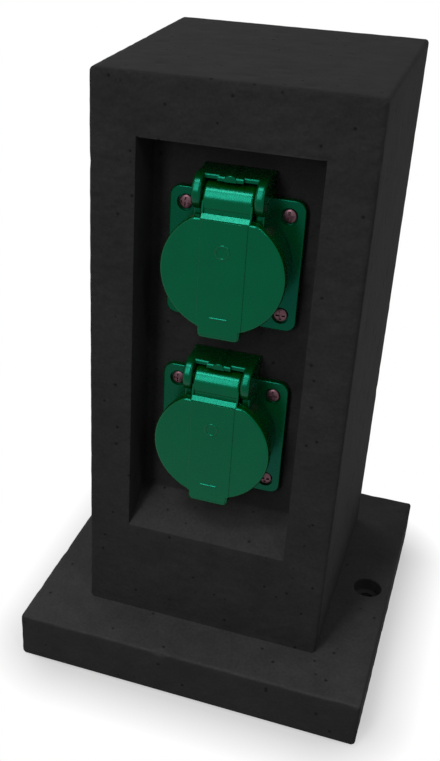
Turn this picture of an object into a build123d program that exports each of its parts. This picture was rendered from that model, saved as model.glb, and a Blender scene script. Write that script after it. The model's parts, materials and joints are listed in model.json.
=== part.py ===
"""Outdoor double socket: a square stone pillar on a base slab, with two hinged-lid sockets in a recess.

Millimetres. X runs across the front, Y into the depth (the front faces -Y) and Z up.
The origin is the middle of the footprint, on the ground.
"""
import math
import os

from build123d import *

# Shared by all cuts and joins: how far a cutter runs past a face, and a fused shape into its neighbour
OVERRUN = 1.0
FUSE = 0.5

# Base slab and its rubber feet
BASE_WIDTH = 146.0
BASE_DEPTH = 146.0
BASE_TOP_Z = 23.0
BASE_EDGE_R = 1.6
FOOT_R = 9.0
FOOT_HEIGHT = 3.5
FOOT_PROUD = 1.5
FOOT_INSET = 15.0
FOOT_EDGE_R = 0.5
FIX_HOLE_R = 3.3
FIX_COUNTERBORE_R = 6.0
FIX_COUNTERBORE_DEPTH = 6.0
FIX_INSET = 10.0

# Pillar, a hollow cast shell
PILLAR_WIDTH = 100.0
PILLAR_DEPTH = 100.0
TOTAL_HEIGHT = 250.0
PILLAR_WALL = 8.0
PILLAR_ROOF = 10.0
PILLAR_EDGE_R = 1.6
BOSS_SIZE = 16.0
BOSS_HEIGHT = 22.0
GASKET_SEAT_DEPTH = 1.5
GASKET_LIP = 3.0

# Recess for the two sockets
RECESS_WIDTH = 65.0
RECESS_DEPTH = 19.0
RECESS_SILL_Z = 66.3
RECESS_SILL_RISE = 9.3
RECESS_TOP_Z = 228.0
RECESS_WALL = 6.0
RECESS_EDGE = 0.7

# Socket positions
LOWER_SOCKET_Z = 111.0
UPPER_SOCKET_Z = 183.0

# Socket housing: flange, collar with the plug well, and hinge hood
FLANGE_SIZE = 50.0
FLANGE_CORNER_R = 4.0
FLANGE_THICKNESS = 2.4
FLANGE_GASKET_THICKNESS = 0.6
SCREW_PITCH = 38.0
SCREW_RECESS_R = 3.25
SCREW_RECESS_DEPTH = 1.3
WELL_R = 19.5
WELL_DEPTH = 17.5
COLLAR_WALL = 2.25
COLLAR_REACH = 14.4
SPIGOT_WALL = 1.8
SPIGOT_CLEARANCE = 0.4
WELL_FLOOR = 2.5
PIN_SPACING = 19.0
PIN_HOLE_R = 2.6
GUIDE_RIB_WIDTH = 4.6
GUIDE_RIB_HEIGHT = 1.6

# Hinge
HINGE_REACH = 11.0
HINGE_RISE = 26.6
HINGE_PIN_R = 1.5
HINGE_PIN_CLEARANCE = 0.05
HINGE_PIN_CHAMFER = 0.3
PIN_PRESS_CLEARANCE = 0.02
BARREL_R = 5.4
BARREL_WIDTH = 18.2
MOVING_GAP = 0.3
EAR_THICKNESS = 3.6
EAR_NOSE_R = 6.6
EAR_NOSE_BACK = 0.1
EAR_ROOT_DEPTH = 2.5
EAR_SETBACK = 0.4
HOOD_TOP_RISE = 34.0
ROOF_THICKNESS = 1.7
ROOF_REACH = 14.2
ROOF_NOTCH_DEPTH = 1.7
ROOF_TONGUE_WIDTH = 9.2
ROOF_BEAD_R = 2.4
ROOF_BEAD_PROUD = 0.4

# Lid
LID_R = 22.9
LID_THICKNESS = 3.6
LID_SKIN = 1.1
LID_EDGE = 0.6
LID_TO_COLLAR = 0.6
LID_LEDGE_RISE = 19.8
LID_LEDGE_SLOPE = 1.1
LID_TAB_WIDTH = 16.0
LID_TAB_REACH = 25.5
LID_TAB_CORNER_R = 2.0
LID_TAB_BORDER = 1.5
LID_BAND_WIDTH = 17.0
LID_BAND_PROUD = 0.4
LID_BAND_INSET = 2.0
LID_NECK_THICKNESS = 3.9
LID_NECK_SETBACK = 0.2
LID_POCKET_RIM = 1.0
SEAL_WIDTH = 2.4
SEAL_REACH = 0.6

# Lid spring, a torsion spring wound round the hinge pin
SPRING_WIRE_R = 0.35
SPRING_COIL_R = 2.6
SPRING_FULL_TURNS = 5
SPRING_PITCH = 1.25
SPRING_LEG = 3.6
SPRING_LEG_HOLE = 4.2
SPRING_POCKET_R = 3.6
SPRING_POCKET_WIDTH = 9.0

# Contacts and their carrier, behind the well floor
CARRIER_R = 19.0
CARRIER_LENGTH = 19.0
SLEEVE_R = 3.4
SLEEVE_BORE_R = 2.45
SLEEVE_LENGTH = 15.2
SLEEVE_SLIT_WIDTH = 1.0
SLEEVE_ROOT = 4.0
PIN_STOP_DEPTH = 2.5
FIT_GAP = 0.2
CLAMP_WIDTH = 8.0
CLAMP_HEIGHT = 7.0
CLAMP_LENGTH = 9.0
CLAMP_SINK = 3.6
CLAMP_HOLE_FLOOR = 0.5
EARTH_STRIP_WIDTH = 6.0
EARTH_STRIP_THICKNESS = 0.8
EARTH_CLIP_R = 18.2
EARTH_CLIP_REACH = 11.0
EARTH_CLIP_BOW = 1.2
EARTH_CLIP_STRAIGHT = 1.0
EARTH_CLAMP_DROP = 12.0

# Screws and threaded inserts
M3_SHANK_R = 1.6
M3_HEAD_R = 2.65
M3_HEAD_HEIGHT = 1.2
M3_HEAD_EDGE_R = 0.4
M3_SLOT_BORDER = 0.9
SCREW_CLEARANCE = 0.2
THREAD_CLEARANCE = 0.05
FLANGE_SCREW_LENGTH = 9.0
FLANGE_INSERT_R = 2.6
FLANGE_INSERT_LENGTH = 5.0
CARRIER_SCREW_R = 1.75
CARRIER_SCREW_HEAD_R = 3.2
CARRIER_SCREW_HEAD_HEIGHT = 1.6
CARRIER_SCREW_SLOT_BORDER = 1.2
CARRIER_SCREW_LENGTH = 14.0
CLAMP_SCREW_R = 1.45
CLAMP_SCREW_HEAD_R = 2.2
CLAMP_SCREW_HEAD_HEIGHT = 1.6
CLAMP_SCREW_SLOT_BORDER = 0.5
CLAMP_SCREW_TIP = 0.8
BASE_SCREW_R = 3.0
BASE_SCREW_HEAD_R = 5.0
BASE_SCREW_HEAD_HEIGHT = 6.0
BASE_SCREW_HEAD_CLEARANCE = 1.0
BASE_SCREW_DRIVE_R = 2.9
BASE_SCREW_REACH = 12.0
BASE_COUNTERBORE_DEPTH = 7.5
BASE_INSERT_R = 4.0
BASE_INSERT_LENGTH = 12.5
DRIVE_SLOT_WIDTH = 0.9
DRIVE_SLOT_DEPTH = 0.7

# Cable gland in the back wall
GLAND_Z = 45.0
GLAND_THREAD_R = 8.0
GLAND_THREAD_SPARE = 2.0
GLAND_HEX_ACROSS = 19.0
GLAND_HEX_HEIGHT = 4.0
GLAND_BORE_R = 5.0
GLAND_FRONT_THREAD = 8.0
GLAND_SEAL_R = 6.6
GLAND_NUT_LENGTH = 12.0
GLAND_NUT_WALL = 1.6
GLAND_NUT_GAP = 0.4
GLAND_DOME_LENGTH = 3.0
GLAND_DOME_R = 2.0
LOCKNUT_HEIGHT = 4.0
LOCKNUT_ACROSS = 20.0

# Terminal block on the inside of the back wall
BLOCK_WIDTH = 34.0
BLOCK_HEIGHT = 22.0
BLOCK_DEPTH = 16.0
BLOCK_BOTTOM_Z = 58.0
BLOCK_SCREW_GRIP = 5.0
POLE_TUBE_R = 3.0
POLE_BORE_R = 1.7
POLE_SCREW_INSET = 5.5
POLE_SCREW_ENTRY = 0.4

# Wires
POLES = ("line", "neutral", "earth")
WIRE_R = 1.4
WIRE_OFFSET = 1.7
JUMPER_LOOP_REACH = 18.0
BEND_SHARE = 0.45

# Places worked out from the sizes above
FRONT_Y = -PILLAR_DEPTH / 2
BACK_Y = PILLAR_DEPTH / 2
WALL_Y = FRONT_Y + RECESS_DEPTH
RECESS_BACK_Y = WALL_Y + RECESS_WALL
INNER_X = PILLAR_WIDTH / 2 - PILLAR_WALL
INNER_Y = PILLAR_DEPTH / 2 - PILLAR_WALL
SLAB_BOTTOM_Z = FOOT_PROUD
GASKET_TOP_Z = BASE_TOP_Z + GASKET_SEAT_DEPTH
BOSS_X = INNER_X - BOSS_SIZE / 2
BOSS_Y = INNER_Y - BOSS_SIZE / 2
SOCKETS = {"upper": UPPER_SOCKET_Z, "lower": LOWER_SOCKET_Z}
GLAND_HEX_BACK = BACK_Y + GLAND_HEX_HEIGHT
GLAND_NUT_BACK = GLAND_HEX_BACK + GLAND_NUT_LENGTH
BLOCK_TOP_Z = BLOCK_BOTTOM_Z + BLOCK_HEIGHT
BLOCK_MID_Z = BLOCK_BOTTOM_Z + BLOCK_HEIGHT / 2
BLOCK_FRONT = INNER_Y - BLOCK_DEPTH
BLOCK_MID_Y = INNER_Y - BLOCK_DEPTH / 2

# Places in a socket's own frame: y = 0 is the recess wall, x = z = 0 the socket's axis
FLANGE_BACK = -FLANGE_GASKET_THICKNESS
FLANGE_FRONT = FLANGE_BACK - FLANGE_THICKNESS
COLLAR_FRONT = -COLLAR_REACH
COLLAR_R = WELL_R + COLLAR_WALL
FLOOR_FRONT = COLLAR_FRONT + WELL_DEPTH
FLOOR_BACK = FLOOR_FRONT + WELL_FLOOR
SPIGOT_R = WELL_R + SPIGOT_WALL
WALL_HOLE_R = SPIGOT_R + SPIGOT_CLEARANCE
CARRIER_BACK = FLOOR_BACK + CARRIER_LENGTH
CLAMP_FRONT = CARRIER_BACK - CLAMP_SINK
CLAMP_BACK = CLAMP_FRONT + CLAMP_LENGTH
CLAMP_SCREW_Y = CARRIER_BACK + CLAMP_SCREW_HEAD_R + FIT_GAP
STRIP_FRONT = FLOOR_BACK + FIT_GAP / 2
STRIP_BACK = STRIP_FRONT + EARTH_STRIP_THICKNESS
LID_BACK = COLLAR_FRONT - LID_TO_COLLAR
LID_FRONT = LID_BACK - LID_THICKNESS
SEAL_FRONT = LID_FRONT + LID_SKIN
SEAL_FACE = COLLAR_FRONT + SEAL_REACH
SEAL_OUTER_R = WELL_R - MOVING_GAP
SEAL_INNER_R = SEAL_OUTER_R - SEAL_WIDTH
HINGE_Y = -HINGE_REACH
NECK_FRONT = HINGE_Y - BARREL_R
EAR_INNER = BARREL_WIDTH / 2 + MOVING_GAP
HOOD_HALF = EAR_INNER + EAR_THICKNESS
ROOF_UNDER = HOOD_TOP_RISE - ROOF_THICKNESS


def block(x0, x1, y0, y1, z0, z1):
    """Return a box from its lowest to its highest corner."""
    return Pos((x0 + x1) / 2, (y0 + y1) / 2, (z0 + z1) / 2) * Box(x1 - x0, y1 - y0, z1 - z0)


def rod_x(radius, x0, x1, y, z):
    """Return a cylinder along X."""
    return Pos((x0 + x1) / 2, y, z) * Rot(0, 90, 0) * Cylinder(radius, x1 - x0)


def rod_y(radius, y0, y1, x=0.0, z=0.0):
    """Return a cylinder along Y."""
    return Pos(x, (y0 + y1) / 2, z) * Rot(90, 0, 0) * Cylinder(radius, y1 - y0)


def rod_z(radius, z0, z1, x=0.0, y=0.0):
    """Return a cylinder along Z."""
    return Pos(x, y, (z0 + z1) / 2) * Cylinder(radius, z1 - z0)


def ring_y(outer, inner, y0, y1, x=0.0, z=0.0):
    """Return a ring whose axis runs along Y."""
    return rod_y(outer, y0, y1, x, z) - rod_y(inner, y0 - OVERRUN, y1 + OVERRUN, x, z)


def plate_y(sketch, y0, y1):
    """Return a sketch drawn in X and Z as a plate from y0 to y1."""
    return Pos(0, y1, 0) * extrude(Plane.XZ * sketch, y1 - y0)


def profile_x(points, x0, x1):
    """Return a closed outline of (y, z) points as a solid from x0 to x1."""
    outline = Plane.YZ * make_face(Polyline(*points, close=True))
    return Pos(x0, 0, 0) * extrude(outline, x1 - x0)


def hexagon_y(across, y0, y1, x=0.0, z=0.0):
    """Return a hexagonal prism along Y, given its width across the flats."""
    prism = extrude(RegularPolygon(across / math.sqrt(3), 6), (y1 - y0) / 2, both=True)
    return Pos(x, (y0 + y1) / 2, z) * Rot(90, 0, 0) * prism


def cross_slot_y(reach, y_face, x=0.0, z=0.0):
    """Return the cross recess of a screw whose head faces -Y at y_face."""
    half = DRIVE_SLOT_WIDTH / 2
    front = y_face - OVERRUN
    deep = y_face + DRIVE_SLOT_DEPTH
    cross = block(-reach, reach, front, deep, -half, half) + block(-half, half, front, deep, -reach, reach)
    return Pos(x, 0, z) * cross


def corner_points(half_x, half_y):
    """Return the four corners of a rectangle about the origin."""
    return [(sx * half_x, sy * half_y) for sx in (-1, 1) for sy in (-1, 1)]


def flange_corners():
    """Return the (x, z) places of a flange's four screws."""
    return corner_points(SCREW_PITCH / 2, SCREW_PITCH / 2)


def gather(pieces):
    """Return separate solids as one group."""
    return Compound(children=[piece.solid() for piece in pieces])


def foot_places():
    """Return the four foot centres."""
    return corner_points(BASE_WIDTH / 2 - FOOT_INSET, BASE_DEPTH / 2 - FOOT_INSET)


def base_plate():
    """Slab with two counterbored ground-fixing holes, and seats for the feet and pillar screws."""
    half_x, half_y = BASE_WIDTH / 2, BASE_DEPTH / 2
    above = BASE_TOP_Z + OVERRUN
    slab = block(-half_x, half_x, -half_y, half_y, SLAB_BOTTOM_Z, BASE_TOP_Z)
    rounded = slab.edges().filter_by(Axis.Z) + slab.faces().sort_by(Axis.Z)[-1].edges()
    slab = fillet(rounded, BASE_EDGE_R)
    for x in (-half_x + FIX_INSET, half_x - FIX_INSET):
        slab -= rod_z(FIX_HOLE_R, 0, above, x)
        slab -= rod_z(FIX_COUNTERBORE_R, BASE_TOP_Z - FIX_COUNTERBORE_DEPTH, above, x)
    for x, y in corner_points(BOSS_X, BOSS_Y):
        slab -= rod_z(BASE_SCREW_R + SCREW_CLEARANCE, 0, above, x, y)
        slab -= rod_z(BASE_SCREW_HEAD_R + BASE_SCREW_HEAD_CLEARANCE, 0,
                      SLAB_BOTTOM_Z + BASE_COUNTERBORE_DEPTH, x, y)
    for x, y in foot_places():
        slab -= rod_z(FOOT_R + FIT_GAP / 2, 0, FOOT_HEIGHT, x, y)
    return slab


def rubber_feet():
    """Four pads let into the underside of the slab."""
    pads = []
    for x, y in foot_places():
        pad = rod_z(FOOT_R, 0, FOOT_HEIGHT, x, y)
        pads.append(fillet(pad.edges().sort_by(Axis.Z)[0], FOOT_EDGE_R))
    return gather(pads)


def recess_outline(front_y, back_y, margin):
    """Return the recess's side outline; a positive margin grows it to the surrounding wall."""
    slope = RECESS_SILL_RISE / RECESS_DEPTH
    low_front = RECESS_SILL_Z - margin + slope * (front_y - FRONT_Y)
    low_back = RECESS_SILL_Z - margin + slope * (back_y - FRONT_Y)
    top = RECESS_TOP_Z + margin
    return [(front_y, low_front), (back_y, low_back), (back_y, top), (front_y, top)]


def pillar_cavity():
    """Return the hollow inside the shell, less the walls round the recess and the corner bosses."""
    below = BASE_TOP_Z - OVERRUN
    cavity = block(-INNER_X, INNER_X, -INNER_Y, INNER_Y, below, TOTAL_HEIGHT - PILLAR_ROOF)
    niche_half = RECESS_WIDTH / 2 + RECESS_WALL
    cavity -= profile_x(recess_outline(FRONT_Y, RECESS_BACK_Y, RECESS_WALL), -niche_half, niche_half)
    half = BOSS_SIZE / 2
    for x, y in corner_points(BOSS_X, BOSS_Y):
        cavity -= block(x - half, x + half, y - half, y + half, below, BASE_TOP_Z + BOSS_HEIGHT)
    return cavity


def pillar_body():
    """Hollow cast shell, open below, with the recess, socket holes, corner bosses and gland hole."""
    half_x = PILLAR_WIDTH / 2
    shell = block(-half_x, half_x, FRONT_Y, BACK_Y, BASE_TOP_Z, TOTAL_HEIGHT)
    rounded = shell.edges().filter_by(Axis.Z) + shell.faces().sort_by(Axis.Z)[-1].edges()
    shell = fillet(rounded, PILLAR_EDGE_R) - pillar_cavity()
    half_recess = RECESS_WIDTH / 2
    shell -= profile_x(recess_outline(FRONT_Y - OVERRUN, WALL_Y, 0.0), -half_recess, half_recess)
    shell = chamfer(recess_rim(shell), RECESS_EDGE)
    lip_x = half_x - GASKET_LIP
    lip_y = BACK_Y - GASKET_LIP
    shell -= block(-lip_x, lip_x, -lip_y, lip_y, BASE_TOP_Z - OVERRUN, GASKET_TOP_Z)
    for x, y in corner_points(BOSS_X, BOSS_Y):
        shell -= rod_z(BASE_INSERT_R, BASE_TOP_Z - OVERRUN, GASKET_TOP_Z + BASE_INSERT_LENGTH, x, y)
    front, behind = WALL_Y - OVERRUN, RECESS_BACK_Y + OVERRUN
    for z in SOCKETS.values():
        shell -= rod_y(WALL_HOLE_R, front, behind, 0, z)
        for x, dz in flange_corners():
            shell -= rod_y(M3_SHANK_R + SCREW_CLEARANCE, front, behind, x, z + dz)
            shell -= rod_y(FLANGE_INSERT_R, RECESS_BACK_Y - FLANGE_INSERT_LENGTH, behind, x, z + dz)
    shell -= rod_y(GLAND_THREAD_R + FIT_GAP / 2, INNER_Y - OVERRUN, BACK_Y + OVERRUN, 0, GLAND_Z)
    for x in block_screw_places():
        shell -= rod_y(M3_SHANK_R + THREAD_CLEARANCE, INNER_Y - OVERRUN, INNER_Y + BLOCK_SCREW_GRIP + OVERRUN,
                       x, BLOCK_MID_Z)
    return shell


def recess_rim(shell):
    """Return the shell's edges round the mouth of the recess."""
    reach_x = RECESS_WIDTH / 2
    near = 0.01
    return [edge for edge in shell.edges()
            if abs(edge.center().Y - FRONT_Y) < near and abs(edge.center().X) <= reach_x + near
            and RECESS_SILL_Z - near <= edge.center().Z <= RECESS_TOP_Z + near]


def base_gasket():
    """Foam frame between pillar and slab, with a pad under each corner boss."""
    out_x = PILLAR_WIDTH / 2 - GASKET_LIP - FIT_GAP / 2
    out_y = PILLAR_DEPTH / 2 - GASKET_LIP - FIT_GAP / 2
    pad_x = INNER_X - BOSS_SIZE
    pad_y = INNER_Y - BOSS_SIZE
    below, above = BASE_TOP_Z - OVERRUN, GASKET_TOP_Z + OVERRUN
    frame = block(-out_x, out_x, -out_y, out_y, BASE_TOP_Z, GASKET_TOP_Z)
    frame -= block(-INNER_X, INNER_X, -pad_y, pad_y, below, above)
    frame -= block(-pad_x, pad_x, -INNER_Y, INNER_Y, below, above)
    for x, y in corner_points(BOSS_X, BOSS_Y):
        frame -= rod_z(BASE_SCREW_R + SCREW_CLEARANCE, below, above, x, y)
    return frame


def base_screws():
    """Four socket-head screws that hold the pillar to the slab from below."""
    seat = SLAB_BOTTOM_Z + BASE_COUNTERBORE_DEPTH
    face = seat - BASE_SCREW_HEAD_HEIGHT
    drive = extrude(RegularPolygon(BASE_SCREW_DRIVE_R, 6), BASE_SCREW_HEAD_HEIGHT / 2)
    screws = []
    for x, y in corner_points(BOSS_X, BOSS_Y):
        screw = rod_z(BASE_SCREW_HEAD_R, face, seat, x, y)
        screw += rod_z(BASE_SCREW_R, seat, GASKET_TOP_Z + BASE_SCREW_REACH, x, y)
        screws.append(screw - Pos(x, y, face) * drive)
    return gather(screws)


def base_inserts():
    """Four threaded brass inserts cast into the corner bosses."""
    top = GASKET_TOP_Z + BASE_INSERT_LENGTH
    bore = BASE_SCREW_R + THREAD_CLEARANCE
    inserts = []
    for x, y in corner_points(BOSS_X, BOSS_Y):
        insert = rod_z(BASE_INSERT_R - THREAD_CLEARANCE, GASKET_TOP_Z, top, x, y)
        inserts.append(insert - rod_z(bore, GASKET_TOP_Z - OVERRUN, top + OVERRUN, x, y))
    return gather(inserts)


def flange_inserts():
    """Eight threaded brass inserts in the wall behind the two flanges."""
    front = RECESS_BACK_Y - FLANGE_INSERT_LENGTH
    outer = FLANGE_INSERT_R - THREAD_CLEARANCE
    bore = M3_SHANK_R + THREAD_CLEARANCE
    inserts = []
    for z in SOCKETS.values():
        for x, dz in flange_corners():
            inserts.append(ring_y(outer, bore, front, RECESS_BACK_Y, x, z + dz))
    return gather(inserts)


def flange_sketch():
    """Square flange outline with the tongue that backs the hinge hood."""
    outline = RectangleRounded(FLANGE_SIZE, FLANGE_SIZE, FLANGE_CORNER_R)
    return outline + Pos(0, HOOD_TOP_RISE / 2) * Rectangle(2 * HOOD_HALF, HOOD_TOP_RISE)


def hinge_hood():
    """Two ears and the notched roof that shelter the lid's barrel."""
    front = -ROOF_REACH - OVERRUN
    hood = block(-HOOD_HALF, HOOD_HALF, -ROOF_REACH, FLANGE_FRONT, ROOF_UNDER, HOOD_TOP_RISE)
    for side in (-1, 1):
        x0, x1 = sorted((side * ROOF_TONGUE_WIDTH / 2, side * EAR_INNER))
        hood -= block(x0, x1, front, -ROOF_REACH + ROOF_NOTCH_DEPTH,
                      ROOF_UNDER - OVERRUN, HOOD_TOP_RISE + OVERRUN)
    bead = rod_y(ROOF_BEAD_R, -ROOF_REACH - ROOF_BEAD_PROUD, FLANGE_FRONT, 0, ROOF_UNDER)
    hood += bead & block(-HOOD_HALF, HOOD_HALF, front, FLANGE_FRONT, ROOF_UNDER, HOOD_TOP_RISE + ROOF_BEAD_R)
    nose_y = HINGE_Y + EAR_NOSE_BACK
    nose_z = HOOD_TOP_RISE - EAR_NOSE_R
    root_z = WELL_R - EAR_ROOT_DEPTH
    for side in (-1, 1):
        x0, x1 = sorted((side * EAR_INNER, side * HOOD_HALF))
        hood += rod_x(EAR_NOSE_R, x0, x1, nose_y, nose_z)
        hood += block(x0, x1, nose_y, FLANGE_FRONT, root_z, HOOD_TOP_RISE)
        hood += block(x0, x1, COLLAR_FRONT + EAR_SETBACK, FLANGE_FRONT, root_z, nose_z)
    return hood


def guide_rib():
    """Return the rib that guides the plug, on the right of the well."""
    half = GUIDE_RIB_WIDTH / 2
    return block(WELL_R - GUIDE_RIB_HEIGHT, WELL_R + FUSE, FLANGE_FRONT, FLOOR_FRONT + FUSE, -half, half)


def earth_slot():
    """Return the upper slot in the well floor, through which the earth clip passes."""
    half = EARTH_STRIP_WIDTH / 2 + FIT_GAP
    inner = EARTH_CLIP_R - EARTH_STRIP_THICKNESS - 2 * FIT_GAP
    return block(-half, half, FLOOR_FRONT - OVERRUN, FLOOR_BACK + OVERRUN, inner, EARTH_CLIP_R + FIT_GAP)


def socket_housing():
    """Flange, collar with the plug well and its floor, and the hinge hood, as one moulding."""
    body = plate_y(flange_sketch(), FLANGE_FRONT, FLANGE_BACK)
    body += rod_y(COLLAR_R, COLLAR_FRONT, FLANGE_BACK)
    body += rod_y(SPIGOT_R, FLANGE_BACK - OVERRUN, FLOOR_BACK)
    body += hinge_hood()
    body -= rod_y(WELL_R, COLLAR_FRONT - OVERRUN, FLOOR_FRONT)
    relief = rod_x(BARREL_R + MOVING_GAP, -EAR_INNER, EAR_INNER, HINGE_Y, HINGE_RISE)
    body -= relief & block(-EAR_INNER, EAR_INNER, COLLAR_FRONT - BARREL_R, FLANGE_FRONT, 0, HINGE_RISE)
    body -= rod_x(HINGE_PIN_R + PIN_PRESS_CLEARANCE, -HOOD_HALF - OVERRUN, HOOD_HALF + OVERRUN,
                  HINGE_Y, HINGE_RISE)
    body += guide_rib() + mirror(guide_rib(), Plane.YZ)
    body -= earth_slot() + mirror(earth_slot(), Plane.XY)
    for x in (-PIN_SPACING / 2, PIN_SPACING / 2):
        body -= rod_y(PIN_HOLE_R, FLOOR_FRONT - OVERRUN, FLOOR_BACK + OVERRUN, x)
    for x, z in flange_corners():
        body -= rod_y(M3_SHANK_R + SCREW_CLEARANCE, FLANGE_FRONT - OVERRUN, FLANGE_BACK + OVERRUN, x, z)
        body -= rod_y(SCREW_RECESS_R, FLANGE_FRONT - OVERRUN, FLANGE_FRONT + SCREW_RECESS_DEPTH, x, z)
    body -= rod_y(CARRIER_SCREW_R + SCREW_CLEARANCE, FLOOR_FRONT - OVERRUN, FLOOR_BACK + OVERRUN)
    body -= rod_y(CARRIER_SCREW_HEAD_R + FIT_GAP, FLOOR_FRONT - OVERRUN,
                  FLOOR_FRONT + CARRIER_SCREW_HEAD_HEIGHT)
    return body


def flange_gasket():
    """Thin gasket between the flange and the recess wall."""
    front, behind = FLANGE_BACK - OVERRUN, OVERRUN
    sheet = plate_y(flange_sketch(), FLANGE_BACK, 0) - rod_y(SPIGOT_R + FIT_GAP, front, behind)
    for x, z in flange_corners():
        sheet -= rod_y(M3_SHANK_R + SCREW_CLEARANCE, front, behind, x, z)
    return sheet


def flange_screws():
    """Four cross-recessed screws in the flange's corners."""
    seat = FLANGE_FRONT + SCREW_RECESS_DEPTH
    face = seat - M3_HEAD_HEIGHT
    screws = []
    for x, z in flange_corners():
        head = rod_y(M3_HEAD_R, face, seat, x, z)
        head = fillet(head.edges().sort_by(Axis.Y)[0], M3_HEAD_EDGE_R)
        screw = head + rod_y(M3_SHANK_R, seat, FLANGE_FRONT + FLANGE_SCREW_LENGTH, x, z)
        screws.append(screw - cross_slot_y(M3_HEAD_R - M3_SLOT_BORDER, face, x, z))
    return gather(screws)


def lid_sketch():
    """Outline of the lid: a disc cut flat below the barrel, with the finger tab."""
    disc = Circle(LID_R)
    disc -= Pos(0, LID_LEDGE_RISE + LID_R / 2) * Rectangle(2 * LID_R, LID_R)
    tab = Pos(0, -LID_TAB_REACH / 2) * Rectangle(LID_TAB_WIDTH, LID_TAB_REACH)
    return disc + fillet(tab.vertices().sort_by(Axis.Y)[:2], LID_TAB_CORNER_R)


def lid_band():
    """Return the raised band down the middle of the lid, which narrows on the tab."""
    front, behind = LID_FRONT - LID_BAND_PROUD, LID_FRONT + FUSE
    band_half = LID_BAND_WIDTH / 2
    tab_half = LID_TAB_WIDTH / 2 - LID_EDGE
    wide = block(-band_half, band_half, front, behind, -LID_R + LID_BAND_INSET, LID_LEDGE_RISE - LID_EDGE)
    narrow = block(-tab_half, tab_half, front, behind,
                   -LID_TAB_REACH + LID_TAB_BORDER, -LID_R + LID_BAND_INSET + OVERRUN)
    return wide + narrow


def lid_neck():
    """Return the neck that slopes from the lid's flat top back to the barrel."""
    neck_back = NECK_FRONT + LID_NECK_THICKNESS
    step_z = COLLAR_R + MOVING_GAP + FIT_GAP
    front = LID_FRONT + LID_NECK_SETBACK
    low = LID_LEDGE_RISE - OVERRUN
    return profile_x(
        [(front, low), (front, LID_LEDGE_RISE), (NECK_FRONT, LID_LEDGE_RISE + LID_LEDGE_SLOPE),
         (NECK_FRONT, HINGE_RISE), (neck_back, HINGE_RISE), (neck_back, step_z),
         (LID_BACK, step_z), (LID_BACK, low)],
        -BARREL_WIDTH / 2, BARREL_WIDTH / 2)


def lid():
    """Lid plate with the finger tab, raised band, neck and hinge barrel."""
    plate = plate_y(lid_sketch(), LID_FRONT, LID_BACK)
    plate = chamfer(plate.faces().sort_by(Axis.Y)[0].edges(), LID_EDGE)
    cover = plate + lid_band() + lid_neck()
    cover += rod_x(BARREL_R, -BARREL_WIDTH / 2, BARREL_WIDTH / 2, HINGE_Y, HINGE_RISE)
    cover -= rod_y(SEAL_INNER_R - LID_POCKET_RIM, LID_FRONT + 2 * LID_SKIN, LID_BACK + OVERRUN)
    cover -= ring_y(SEAL_OUTER_R, SEAL_INNER_R, SEAL_FRONT, LID_BACK + OVERRUN)
    cover -= rod_x(HINGE_PIN_R + HINGE_PIN_CLEARANCE, -BARREL_WIDTH, BARREL_WIDTH, HINGE_Y, HINGE_RISE)
    pocket_half = SPRING_POCKET_WIDTH / 2
    cover -= rod_x(SPRING_POCKET_R, -pocket_half, pocket_half, HINGE_Y, HINGE_RISE)
    cover -= block(-pocket_half, pocket_half, HINGE_Y, HINGE_Y + BARREL_R + OVERRUN,
                   HINGE_RISE - SPRING_POCKET_R, HINGE_RISE + BARREL_R + OVERRUN)
    cover -= rod_z(SPRING_WIRE_R + FIT_GAP, HINGE_RISE - SPRING_LEG_HOLE, HINGE_RISE,
                   spring_start_x(), HINGE_Y - SPRING_COIL_R)
    return cover


def lid_seal():
    """Soft ring in the lid's groove that enters the mouth of the plug well."""
    return ring_y(SEAL_OUTER_R, SEAL_INNER_R, SEAL_FRONT, SEAL_FACE)


def hinge_pin():
    """Steel pin through both ears and the barrel."""
    half = HOOD_HALF - FIT_GAP
    pin = rod_x(HINGE_PIN_R, -half, half, HINGE_Y, HINGE_RISE)
    return chamfer(pin.edges().filter_by(GeomType.CIRCLE), HINGE_PIN_CHAMFER)


def spring_start_x():
    """Return where the first turn starts, so that the winding is centred on the barrel."""
    return -SPRING_PITCH * (SPRING_FULL_TURNS + 0.25) / 2


def spring_point(turns):
    """Return the wire's centre after so many turns, from the front and over the top."""
    angle = 2 * math.pi * turns
    return Vector(spring_start_x() + SPRING_PITCH * turns,
                  HINGE_Y - SPRING_COIL_R * math.cos(angle),
                  HINGE_RISE + SPRING_COIL_R * math.sin(angle))


def lid_spring():
    """Torsion spring: a leg down into the neck, the turns, and a leg back to the flange."""
    quarters = 4 * SPRING_FULL_TURNS + 1
    start = spring_point(0)
    end = spring_point(quarters / 4)
    path = [Line(start - Vector(0, 0, SPRING_LEG), start)]
    for index in range(quarters):
        path.append(ThreePointArc(spring_point(index / 4), spring_point((index + 0.5) / 4),
                                  spring_point((index + 1) / 4)))
    path.append(Line(end, Vector(end.X, FLANGE_FRONT - FIT_GAP / 2, end.Z)))
    wire = Wire(Curve() + path)
    section = Plane(origin=wire @ 0, z_dir=wire % 0) * Circle(SPRING_WIRE_R)
    gap = SPRING_PITCH * math.cos(math.atan(SPRING_PITCH / (2 * math.pi * SPRING_COIL_R)))
    print(f"lid spring: least gap between turns {gap - 2 * SPRING_WIRE_R:.2f} mm")
    return sweep(section, wire)


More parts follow.
